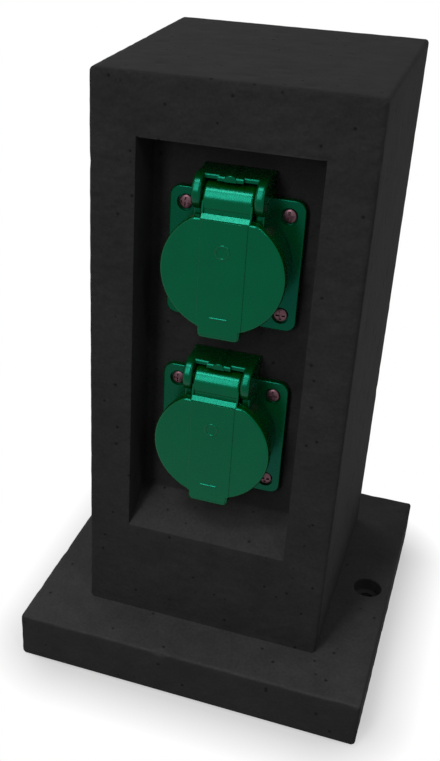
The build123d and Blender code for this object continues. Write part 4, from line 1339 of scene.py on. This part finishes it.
@dataclass
class SocketHousing(SocketPart):
    """A socket's green moulding: square flange, collar round the plug well, and the hood over the hinge."""

    flange_back: float = -0.6
    flange_half: float = 25.0
    flange_corner: float = 4.0
    flange_edge: float = 0.5
    collar_front: float = -14.4
    collar_radius: float = 21.75
    well_radius: float = 19.5
    floor_front: float = 3.1
    floor_back: float = 5.6
    spigot_radius: float = 21.3
    rim_edge: float = 0.5
    hood_half: float = 13.0
    ear_inner: float = 9.4
    ear_front: float = -14.0
    ear_root: float = 17.0
    nose_centre: Pair = (-10.9, 27.4)
    nose_radius: float = 6.6
    hood_top: float = 34.0
    ear_edge: float = 1.0
    roof_front: float = -14.2
    roof_under: float = 32.3
    roof_edge: float = 1.4
    notch_inner: float = 4.6
    notch_depth: float = 1.7
    bead_radius: float = 2.4
    bead_proud: float = 0.4
    bead_edge: float = 0.5
    roof_inset: float = 1.0
    barrel_relief: float = 6.7
    pin_bore: float = 1.52
    rib_height: float = 1.6
    rib_half: float = 2.3
    slot_half: float = 3.2
    slot_low: float = 17.0
    slot_high: float = 18.4
    pin_hole_x: float = 9.5
    pin_hole_radius: float = 2.6
    floor_screw_radius: float = 1.95
    floor_recess_radius: float = 3.4
    floor_recess_depth: float = 1.6
    screw_hole_radius: float = 1.8
    screw_recess_radius: float = 3.25
    screw_recess_depth: float = 1.3

    def flange(self) -> Solid:
        """Shape the flange with the tongue behind the hood.

        Returns:
            The plate, with its front edge rounded.
        """
        half, corner = self.flange_half, self.flange_corner
        outline = [(self.hood_half, half), (self.hood_half, self.hood_top), (-self.hood_half, self.hood_top),
                   (-self.hood_half, half)]
        for x, z, start in ((-1, 1, 90), (-1, -1, 180), (1, -1, 270), (1, 1, 0)):
            outline += arc((x * (half - corner), z * (half - corner)), corner, start, start + 90, 8)
        plate = Solid.plate(outline, Axis.Y, self.flange_front, self.flange_back)
        return plate.bevel(in_plane(Axis.Y, self.flange_front), self.flange_edge)

    def cup(self) -> Solid:
        """Turn the collar, the plug well and its floor in one.

        Returns:
            The cup, with a rounded rim.
        """
        edge, front = self.rim_edge, self.collar_front
        outline = [(0.0, self.floor_back), (self.spigot_radius, self.floor_back),
                   (self.spigot_radius, self.flange_back), (self.collar_radius, self.flange_back)]
        outline += arc((self.collar_radius - edge, front + edge), edge, 0, -90, 4)
        outline += arc((self.well_radius + edge, front + edge), edge, -90, -180, 4)
        outline += [(self.well_radius, self.floor_front - edge)]
        outline += arc((self.well_radius - edge, self.floor_front - edge), edge, 0, 90, 3)[1:]
        outline += [(0.0, self.floor_front)]
        return Solid.turned(outline, steps=128)

    def ear(self) -> Solid:
        """Shape the right ear, which holds the pin's end.

        Returns:
            The ear, with its faces' edges rounded.
        """
        nose_y, nose_z = self.nose_centre
        turn = math.degrees(math.acos((nose_y - self.ear_front) / self.nose_radius))
        outline = [(self.ear_front, self.ear_root)]
        outline += arc(self.nose_centre, self.nose_radius, 180 + turn, 90, 20)
        behind = self.flange_front + OVERRUN
        outline += [(behind, self.hood_top), (behind, self.ear_root)]
        ear = Solid.plate(outline, Axis.X, self.ear_inner, self.hood_half)
        return ear.bevel(in_plane(Axis.X, self.ear_inner, self.hood_half), self.ear_edge, 5)

    def roof(self) -> Solid:
        """Shape the roof between the ears, with its two notches and the bead on its middle.

        Returns:
            The roof, with its front edges rounded.
        """
        front, behind = self.roof_front, self.flange_front + OVERRUN
        notch = front + self.notch_depth
        half, set_back = self.hood_half - self.roof_inset, notch + self.roof_inset
        outline = [(-half, behind), (-half, set_back), (-self.ear_inner, notch), (-self.notch_inner, notch),
                   (-self.notch_inner, front), (self.notch_inner, front), (self.notch_inner, notch),
                   (self.ear_inner, notch), (half, set_back), (half, behind)]
        roof = Solid.plate(outline, Axis.Z, self.roof_under, self.hood_top)
        roof.bevel(in_plane(Axis.Z, self.hood_top), self.roof_edge, 5)
        proud = front - self.bead_proud
        bead = Solid.rod(Axis.Y, self.bead_radius, proud, behind, (0.0, self.roof_under), 48)
        bead.bevel(in_plane(Axis.Y, proud), self.bead_edge)
        above = Solid.box((-self.hood_half, front - OVERRUN, self.roof_under),
                          (self.hood_half, behind + OVERRUN, self.hood_top + self.bead_radius))
        return roof.plus(bead.combined(Join.KEEP_COMMON, above))

    def holes(self) -> list[Solid]:
        """Make what is cut out of the joined moulding: barrel relief, pin bore, slots and holes.

        Returns:
            The solids to cut out.
        """
        pin = (self.hinge_y, self.hinge_rise)
        low = Solid.box((-self.ear_inner, self.collar_front - self.barrel_relief, 0.0),
                        (self.ear_inner, self.flange_front, self.hinge_rise))
        relief = Solid.rod(Axis.X, self.barrel_relief, -self.ear_inner, self.ear_inner, pin, 64)
        reach = self.hood_half + OVERRUN
        bore = Solid.rod(Axis.X, self.pin_bore, -reach, reach, pin, 32)
        cuts = [relief.combined(Join.KEEP_COMMON, low), bore]
        front, behind = self.floor_front - OVERRUN, self.floor_back + OVERRUN
        for side in (-1, 1):
            low_z, high_z = sorted((side * self.slot_low, side * self.slot_high))
            cuts.append(Solid.box((-self.slot_half, front, low_z), (self.slot_half, behind, high_z)))
            pin_hole = (side * self.pin_hole_x, 0.0)
            cuts.append(Solid.rod(Axis.Y, self.pin_hole_radius, front, behind, pin_hole, 48))
            for up in (-1, 1):
                place = (side * self.screw_at, up * self.screw_at)
                cuts.append(Solid.rod(Axis.Y, self.screw_hole_radius, self.flange_front - OVERRUN,
                                      self.flange_back + OVERRUN, place, 32))
                cuts.append(Solid.rod(Axis.Y, self.screw_recess_radius, self.flange_front - OVERRUN,
                                      self.flange_front + self.screw_recess_depth, place, 48))
        cuts.append(Solid.rod(Axis.Y, self.floor_screw_radius, front, behind, (0.0, 0.0), 32))
        recess_end = self.floor_front + self.floor_recess_depth
        cuts.append(Solid.rod(Axis.Y, self.floor_recess_radius, front, recess_end, (0.0, 0.0), 48))
        return cuts

    def shape(self) -> Solid:
        """Join and cut the moulding.

        Returns:
            The housing, about its socket's centre.
        """
        ear = self.ear()
        inside = Solid.rod(Axis.Y, (self.well_radius + self.collar_radius) / 2, self.collar_front - OVERRUN,
                           self.flange_back + OVERRUN, (0.0, 0.0), 128)
        outer = self.flange().plus(ear, ear.mirrored(Axis.X), self.roof()).minus(inside)
        ribs = []
        for low, high in ((-self.well_radius - self.rim_edge, -self.well_radius + self.rib_height),
                          (self.well_radius - self.rib_height, self.well_radius + self.rim_edge)):
            rib = Solid.box((low, self.flange_front, -self.rib_half),
                            (high, self.floor_front + self.rim_edge, self.rib_half))
            ribs.append(rib.bevel(in_plane(Axis.Y, self.flange_front), self.rim_edge))
        return self.cup().plus(outer, *ribs).minus(*self.holes())

    def seat(self, solid: Solid, level: Level, height: float) -> None:
        """Turn the shape into one socket's housing."""
        solid.piece(level.node("moulded_housing"), "green_housing", POST, level.node("socket_housing"))


@dataclass
class SocketLid(SocketPart):
    """A socket's lid: a disc cut flat at the ledge, with finger tab, raised band, neck and barrel."""

    radius: float = 22.9
    front: float = -18.6
    back: float = -15.0
    ledge: float = 19.8
    flat_corner: float = 3.0
    edge: float = 0.9
    back_edge: float = 0.3
    tab_half: float = 8.0
    tab_reach: float = 25.5
    tab_corner: float = 2.0
    band_half: float = 8.5
    band_low: float = 20.9
    band_front: float = -19.0
    band_tab_half: float = 7.4
    band_tab_low: float = 24.0
    band_edge: float = 0.3
    neck_half: float = 9.1
    neck_setback: float = 0.02
    ledge_facet: float = 1.4
    neck_front: float = -16.4
    neck_back: float = -12.5
    undercut: float = 2.0
    undercut_z: float = 23.3
    undercut_deg: float = 25.0
    neck_step: float = 22.25
    neck_edge: float = 1.0
    cheek_width: float = 0.9
    cheek_edge: float = 0.35
    roll_z: float = 25.5
    barrel_radius: float = 5.4
    pin_bore: float = 1.55
    spring_radius: float = 3.6
    spring_half: float = 4.5
    leg_at: Pair = (-3.28, -13.6)
    leg_hole: float = 4.2
    leg_hole_radius: float = 0.55
    pocket_radius: float = 15.8
    pocket_front: float = -16.4
    groove_front: float = -17.5
    groove_inner: float = 16.8
    groove_outer: float = 19.2
    ring_z: float = 8.5
    ring_radius: float = 2.4
    mark_round: float = 0.5
    bar_z: float = -17.0
    bar_half: float = 3.2
    mark_proud: float = 0.28

    def plate(self) -> Solid:
        """Shape the lid's plate with the tab, and round its front edge.

        Returns:
            The plate.
        """
        tab_deg = math.degrees(math.acos(self.tab_half / self.radius))
        corner = self.tab_corner
        low = -self.tab_reach + corner
        ease = self.flat_corner
        eased_z = self.ledge - ease
        eased_x = math.sqrt((self.radius - ease) ** 2 - eased_z ** 2)
        eased_deg = math.degrees(math.atan2(eased_z, eased_x))
        outline = arc((eased_x, eased_z), ease, 90, eased_deg, 6)
        outline += arc((0.0, 0.0), self.radius, eased_deg, -tab_deg, 48)[1:]
        outline += arc((self.tab_half - corner, low), corner, 0, -90, 6)
        outline += arc((-self.tab_half + corner, low), corner, -90, -180, 6)
        outline += arc((0.0, 0.0), self.radius, tab_deg - 180, -180 - eased_deg, 48)
        outline += arc((-eased_x, eased_z), ease, -180 - eased_deg, -270, 6)[1:]
        plate = Solid.plate(outline, Axis.Y, self.front, self.back)
        plate.bevel(in_plane(Axis.Y, self.front), self.edge, 4)
        return plate.bevel(in_plane(Axis.Y, self.back), self.back_edge, 2)

    def band(self) -> Solid:
        """Shape the raised band down the middle, which narrows on the tab.

        Returns:
            The band, with its edges eased.
        """
        wide, narrow = self.band_half, self.band_tab_half
        high, step, low = self.ledge - self.band_edge, -self.band_low, -self.band_tab_low
        outline = [(wide, high), (wide, step), (narrow, step), (narrow, low), (-narrow, low), (-narrow, step),
                   (-wide, step), (-wide, high)]
        band = Solid.plate(outline, Axis.Y, self.band_front, self.front + OVERRUN)
        return band.bevel(in_plane(Axis.Y, self.band_front), self.band_edge, 3)

    def neck(self) -> Solid:
        """Shape the neck with the ledge, from the plate's flat top back to the barrel.

        Returns:
            The neck, with its side edges rounded.
        """
        low, front = self.ledge - OVERRUN, self.front + self.neck_setback
        centre = (self.neck_front + self.undercut, self.undercut_z)
        under = arc(centre, self.undercut, 180 + self.undercut_deg, 180, 6)
        shelf = self.ledge + self.ledge_facet
        outline = [(front, low), (front, self.ledge), (front + self.ledge_facet, shelf), (under[0][0], shelf),
                   *under, (self.neck_front, self.roll_z), (self.neck_back, self.roll_z),
                   (self.neck_back, self.neck_step), (self.back, self.neck_step), (self.back, low)]
        neck = Solid.plate(outline, Axis.X, -self.neck_half, self.neck_half)
        at_sides = in_plane(Axis.X, -self.neck_half, self.neck_half)
        return neck.bevel(ahead_of(self.back - self.neck_edge, at_sides), self.neck_edge, 4)

    def cheeks(self) -> list[Solid]:
        """Shape the two thin cheeks at the neck's sides, which run from the ledge up to the barrel.

        Returns:
            The cheeks, with their front edges rounded.
        """
        low, high = self.ledge - OVERRUN, self.roll_z
        foot, crest = self.front + self.neck_setback + self.ledge_facet, self.hinge_y - self.barrel_radius
        outline = [(foot, low), (foot, self.ledge + self.ledge_facet), (crest, high), (self.neck_back, high),
                   (self.neck_back, self.neck_step), (self.back, self.neck_step), (self.back, low)]
        made = []
        for side in (-1, 1):
            inner, outer = sorted((side * (self.neck_half - self.cheek_width), side * self.neck_half))
            cheek = Solid.plate(outline, Axis.X, inner, outer)
            at_front = ahead_of(crest + NEAR, in_plane(Axis.X, inner, outer))
            made.append(cheek.bevel(at_front, self.cheek_edge, 3))
        return made

    def marks(self) -> list[Solid]:
        """Make the two generic marks on the band, low beads: a small ring and a short bar.

        Returns:
            The marks.
        """
        middle = self.band_front - self.mark_proud + self.mark_round
        outline = arc((self.ring_radius, middle), self.mark_round, 0, -180, 16)
        ring = Solid.turned(outline, (0.0, self.ring_z), 64)
        bar = Solid.rod(Axis.X, self.mark_round, -self.bar_half, self.bar_half, (middle, self.bar_z), 32)
        return [ring, bar]

    def hollows(self) -> list[Solid]:
        """Make what is cut out behind and in the barrel: pocket, seal groove, bore and room for the spring.

        Returns:
            The solids to cut out.
        """
        behind = self.back + OVERRUN
        groove = Solid.turned([(self.groove_inner, self.groove_front), (self.groove_inner, behind),
                               (self.groove_outer, behind), (self.groove_outer, self.groove_front)])
        pin, reach = (self.hinge_y, self.hinge_rise), self.neck_half + OVERRUN
        slot = Solid.box((-self.spring_half, self.hinge_y, self.hinge_rise - self.spring_radius),
                         (self.spring_half, self.hinge_y + self.barrel_radius + OVERRUN,
                          self.hinge_rise + self.barrel_radius + OVERRUN))
        leg = Solid.rod(Axis.Z, self.leg_hole_radius, self.hinge_rise - self.leg_hole, self.hinge_rise,
                        self.leg_at, 24)
        return [Solid.rod(Axis.Y, self.pocket_radius, self.pocket_front, behind, (0.0, 0.0), 96), groove, leg,
                Solid.rod(Axis.X, self.pin_bore, -reach, reach, pin, 32),
                Solid.rod(Axis.X, self.spring_radius, -self.spring_half, self.spring_half, pin, 48), slot]

    def shape(self) -> Solid:
        """Join and cut the lid.

        Returns:
            The lid, about its socket's centre.
        """
        barrel = Solid.rod(Axis.X, self.barrel_radius, -self.neck_half, self.neck_half,
                           (self.hinge_y, self.roll_z), 96)
        barrel.bevel(in_plane(Axis.X, -self.neck_half, self.neck_half), self.neck_edge, 4)
        joined = self.plate().plus(self.band(), self.neck(), barrel, *self.cheeks(), *self.marks())
        return joined.minus(*self.hollows())

    def seat(self, solid: Solid, level: Level, height: float) -> None:
        """Turn the shape into one socket's lid."""
        solid.piece(level.node("moulded_lid"), "green_lid", level.lid_body, level.node("lid"))


@dataclass
class FlangeScrews(SocketPart):
    """The four screws in each flange: low domed heads with a cross recess."""

    head_back: float = -1.7
    face: float = -2.9
    head_radius: float = 2.65
    dome_drop: float = 0.6
    dome_steps: int = 6
    shank_radius: float = 1.6
    shank_end: float = 6.0
    point_length: float = 1.0
    slot_reach: float = 1.75
    slot_half: float = 0.45
    slot_depth: float = 0.75

    def screw(self) -> Solid:
        """Turn one screw and cut its recess.

        Returns:
            The screw, about its own axis.
        """
        turns = [math.pi / 2 * step / self.dome_steps for step in range(self.dome_steps + 1)]
        dome = [(self.head_radius * math.sin(turn), self.face + self.dome_drop * (1 - math.cos(turn)))
                for turn in turns]
        outline = dome + [(self.head_radius, self.head_back), (self.shank_radius, self.head_back),
                          (self.shank_radius, self.shank_end - self.point_length),
                          (self.shank_radius / 2, self.shank_end), (0.0, self.shank_end)]
        floor = self.face + self.slot_depth
        bars = [Solid.box((-x, self.face - OVERRUN, -z), (x, floor, z))
                for x, z in ((self.slot_reach, self.slot_half), (self.slot_half, self.slot_reach))]
        pit = Solid.rod(Axis.Y, self.slot_half * 2, self.face - OVERRUN, floor, (0.0, 0.0), 4)
        return Solid.turned(outline, steps=48).minus(bars[0].plus(bars[1], pit))

    def shape(self) -> Solid:
        """Set one screw in each corner of the flange.

        Returns:
            The four screws, about their socket's centre.
        """
        screw = self.screw()
        group = Solid()
        for x, rise in corners(self.screw_at):
            group.beside(screw.copy().moved((x, 0.0, rise)))
        return group

    def seat(self, solid: Solid, level: Level, height: float) -> None:
        """Turn the shape into one socket's screws."""
        solid.piece(level.node("cross_recess_screws"), "screw_steel", POST, level.node("flange_screws"))


@dataclass
class LidSpring(SocketPart):
    """The torsion spring round each hinge pin, with a leg in the lid's neck and a bent leg to the flange."""

    wire_radius: float = 0.35
    wire_sides: int = 12
    coil_radius: float = 2.6
    turns: float = 5.5
    pitch: float = 1.25
    turn_steps: int = 32
    start_x: float = -3.28
    neck_leg: float = 3.6
    drop: float = 1.4
    bend_radius: float = 0.9
    bend_steps: int = 8
    flange_gap: float = 0.1
    twist_half: float = 3.0

    def grown(self, wire: Shape, ring: list[Edge],
              by: Point) -> list[Edge]:
        """Push the wire's open end on along a straight line.

        Args:
            wire: the spring's mesh.
            ring: the edges round the open end.
            by: how far to push.

        Returns:
            The edges round the new end.
        """
        made = bmesh.ops.extrude_edge_only(wire, edges=ring)["geom"]
        moved = [item for item in made if isinstance(item, Vert)]
        bmesh.ops.translate(wire, vec=Vector(by), verts=moved)
        return [item for item in made if isinstance(item, Edge) and item.is_boundary]

    def wound(self, wire: Shape, ring: list[Edge], centre: Point, turn: float,
              steps: int, advance: float) -> list[Edge]:
        """Wind the wire's open end about an axis along X.

        Args:
            wire: the spring's mesh.
            ring: the edges round the open end.
            centre: a point of the axis.
            turn: the angle about X.
            steps: how many steps the turn has.
            advance: how far each step goes on along X.

        Returns:
            The edges round the new end.
        """
        made = bmesh.ops.spin(wire, geom=ring, cent=centre, axis=Axis.X.unit, dvec=(advance, 0.0, 0.0),
                              angle=turn, steps=steps, use_merge=False, use_normal_flip=False,
                              use_duplicate=False)
        return [item for item in made["geom_last"] if isinstance(item, Edge)]

    def shape(self) -> Solid:
        """Wind the spring from its leg in the neck to its leg at the flange.

        Returns:
            The spring, about its socket's centre.
        """
        solid = Solid()
        wire = solid.shape
        front = self.hinge_y - self.coil_radius
        start = Vector((self.start_x, front, self.hinge_rise - self.neck_leg))
        bmesh.ops.create_circle(wire, cap_ends=False, segments=self.wire_sides, radius=self.wire_radius,
                                matrix=Matrix.Translation(start))
        ring = self.grown(wire, wire.edges[:], (0.0, 0.0, self.neck_leg))
        steps = round(self.turns * self.turn_steps)
        ring = self.wound(wire, ring, (0.0, self.hinge_y, self.hinge_rise), -self.turns * FULL_TURN, steps,
                          self.pitch * self.turns / steps)
        ring = self.grown(wire, ring, (0.0, 0.0, -self.drop))
        bend = (0.0, self.hinge_y + self.coil_radius + self.bend_radius, self.hinge_rise - self.drop)
        ring = self.wound(wire, ring, bend, math.pi / 2, self.bend_steps, 0.0)
        self.grown(wire, ring, (0.0, self.flange_front - self.flange_gap - bend[1], 0.0))
        ends = [edge for edge in wire.edges if edge.is_boundary]
        bmesh.ops.holes_fill(wire, edges=ends, sides=self.wire_sides)
        return solid.mended()

    def seat(self, solid: Solid, level: Level, height: float) -> None:
        """Turn the shape into one socket's spring, left in its place and joined to no body.

        Args:
            solid: the shape.
            level: the socket.
            height: the socket's centre.
        """
        axis = Vector((0.0, self.wall_y + self.hinge_y, height + self.hinge_rise)) * MM
        reach = Axis.X.unit * self.twist_half * MM
        solid.piece(level.node("torsion_spring"), "spring_steel", POST, level.node("lid_spring"),
                    smooth_deg=60.0, twist=(level.lid_body, axis + reach, axis - reach))


class InnerParts:
    """The pieces whose CAD meshes are right as they are: they only get their finishes."""

    def build(self) -> None:
        """Give each node that no piece replaces the finish of its material slot."""
        pieces = ("socket_housing", "lid", "flange_screws", "lid_spring")
        replaced = {"pillar_body", "base_plate"} | {level.node(piece) for level in Level for piece in pieces}
        slots = {part["node"]: part["material_slot"] for part in frame["record"]["subparts"]}
        for name, made in frame["nodes"].items():
            if name in replaced:
                continue
            finish = FINISHES[slots[name]].material()
            made.data.materials.clear()
            made.data.materials.append(finish)
            for holder in made.material_slots:
                holder.material = finish
            LOG.info("%s: CAD mesh, %s", name, finish.name)


# Setting


@dataclass(frozen=True)
class Lamp:
    """A rectangular area light: its size and places in metres, and its power in watts."""

    name: str
    size: Pair
    place: Triple
    aim: Triple
    power: float

    def build(self) -> None:
        """Hang the lamp and turn it to its aim."""
        light = bpy.data.lights.new(self.name, "AREA")
        light.shape, light.energy = "RECTANGLE", self.power
        light.size, light.size_y = self.size
        lamp = bpy.data.objects.new(self.name, light)
        lamp.location = self.place
        lamp.rotation_euler = (Vector(self.aim) - Vector(self.place)).to_track_quat("-Z", "Y").to_euler()
        bpy.context.scene.collection.objects.link(lamp)


LAMPS = (
    Lamp("upper_key", (0.48, 0.48), (-0.447, -0.878, 1.996), (0.0, 0.0, 0.14), 14.0),
    Lamp("overhead_fill", (0.8, 0.8), (0.35, 0.1, 1.95), (0.0, 0.0, 0.14), 3.4),
    Lamp("front_softbox", (0.3, 1.2), (-0.405, -1.37, 0.95), (0.0, -0.045, 0.15), 13.0),
    Lamp("right_strip", (0.12, 0.3), (0.66, -0.73, 1.05), (0.0, 0.0, 0.16), 2.2),
    Lamp("rear_fill", (0.9, 0.9), (-1.5, 1.1, 0.5), (0.0, 0.0, 0.14), 16.0),
)


@dataclass
class Studio:
    """Plain soft light from above, the front and the rear left, and a pale floor without a horizon."""

    floor_radius: float = 4.0
    floor_colour: str = "#aaaaaa"
    floor_roughness: float = 0.9
    floor_specular: float = 0.1
    white: str = "#ffffff"
    glow_low: float = 0.5
    glow_half: float = 0.053
    glow_fade: Pair = (0.021, 0.042)
    sky: float = 0.29

    def seen_share(self, tree: Tree) -> Socket:
        """Tell the rays that show a surface from those that light it.

        Args:
            tree: the node tree.

        Returns:
            One for camera, glossy and transmission rays and zero for the others.
        """
        path = add_node(tree, "ShaderNodeLightPath")
        seen = path.outputs["Is Camera Ray"]
        for kind in ("Is Glossy Ray", "Is Transmission Ray"):
            seen = add_node(tree, "ShaderNodeMath", {"operation": "MAXIMUM"},
                            {0: seen, 1: path.outputs[kind]}).outputs[0]
        return seen

    def world(self) -> None:
        """Make the world white to the eye and a plain level as light."""
        world = bpy.data.worlds.new("studio_surround")
        bpy.context.scene.world = world
        world.use_nodes = True
        tree = world.node_tree
        back = tree.nodes["Background"]
        back.inputs["Color"].default_value = linear(self.white)
        strength = graded(tree, (self.seen_share(tree), WHOLE, (self.sky, 1.0)))
        tree.links.new(strength, back.inputs["Strength"])

    def floor_material(self) -> bpy.types.Material:
        """Make the floor's matt paint, which glows white to the eye away from a rounded square.

        Returns:
            The material.
        """
        material = bpy.data.materials.new("matt_white_floor")
        material.use_nodes = True
        tree = material.node_tree
        shader, output = tree.nodes["Principled BSDF"], tree.nodes["Material Output"]
        shader.inputs["Base Color"].default_value = linear(self.floor_colour)
        shader.inputs["Roughness"].default_value = self.floor_roughness
        shader.inputs["Specular IOR Level"].default_value = self.floor_specular
        away = add_node(tree, "ShaderNodeTexCoord").outputs["Object"]
        for operation, other in (("ABSOLUTE", 0.0), ("SUBTRACT", self.glow_half), ("MAXIMUM", 0.0)):
            away = add_node(tree, "ShaderNodeVectorMath", {"operation": operation, 1: (other, other, 0.0)},
                            {0: away}).outputs["Vector"]
        distance = add_node(tree, "ShaderNodeVectorMath", {"operation": "LENGTH"}, {0: away}).outputs["Value"]
        share = graded(tree, (distance, self.glow_fade, (self.glow_low, 1.0)),
                       (self.seen_share(tree), WHOLE, WHOLE))
        glow = add_node(tree, "ShaderNodeEmission", {"Color": linear(self.white), "Strength": 1.0})
        mixed = add_node(tree, "ShaderNodeMixShader", {}, {0: share, 1: shader.outputs[0],
                                                           2: glow.outputs[0]})
        tree.links.new(mixed.outputs[0], output.inputs["Surface"])
        return material

    def floor(self) -> None:
        """Lay the pale floor, which fades to plain white away from the object and keeps its shadow."""
        disc = bmesh.new()
        bmesh.ops.create_circle(disc, cap_ends=True, radius=self.floor_radius, segments=96)
        bmesh.ops.recalc_face_normals(disc, faces=disc.faces)
        mesh = bpy.data.meshes.new("studio_floor")
        disc.to_mesh(mesh)
        disc.free()
        mesh.materials.append(self.floor_material())
        floor = bpy.data.objects.new("studio_floor", mesh)
        bpy.context.scene.collection.objects.link(floor)

    def build(self) -> None:
        """Set the lamps, the world and the floor."""
        for lamp in LAMPS:
            lamp.build()
        self.world()
        self.floor()
        bpy.context.scene.view_settings.view_transform = "Standard"
        LOG.info("studio: %d lamps, surround and floor", len(LAMPS))


@dataclass
class PhotoCamera:
    """The camera at the photograph's place: its eye in millimetres, its turn and its frame."""

    eye: Triple = (88.57, -378.13, 329.53)
    forward: Triple = (-0.28141, 0.82273, -0.49388)
    right: Triple = (0.9411, 0.33717, 0.02545)
    lens: float = 49.748
    sensor: float = 36.0
    shift: Pair = (0.0877, 0.0107)
    clip: Pair = (0.01, 20.0)

    def build(self) -> None:
        """Make the camera and give it to the scene."""
        data = bpy.data.cameras.new("photo_camera")
        data.sensor_width, data.lens = self.sensor, self.lens
        data.shift_x, data.shift_y = self.shift
        data.clip_start, data.clip_end = self.clip
        camera = bpy.data.objects.new("photo_camera", data)
        bpy.context.scene.collection.objects.link(camera)
        forward, right = Vector(self.forward).normalized(), Vector(self.right).normalized()
        up = right.cross(forward).normalized()
        turn = Matrix((right, up, -forward)).transposed().to_4x4()
        camera.matrix_world = Matrix.Translation(Vector(self.eye) * MM) @ turn
        bpy.context.scene.camera = camera


def main() -> None:
    """Build the setting and the part in order."""
    logging.basicConfig(level=logging.INFO, format="%(message)s")
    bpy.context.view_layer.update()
    PhotoCamera().build()
    Studio().build()
    heights = {}
    for level in Level:
        low, high = node_box(level.node("lid_seal"))
        heights[level] = (low.z + high.z) / 2
    Pillar(socket_heights=tuple(heights.values())).build()
    BaseSlab().build()
    for part in (SocketHousing(), SocketLid(), FlangeScrews(), LidSpring()):
        part.build(heights)
    InnerParts().build()


if __name__ == "__main__":
    main()
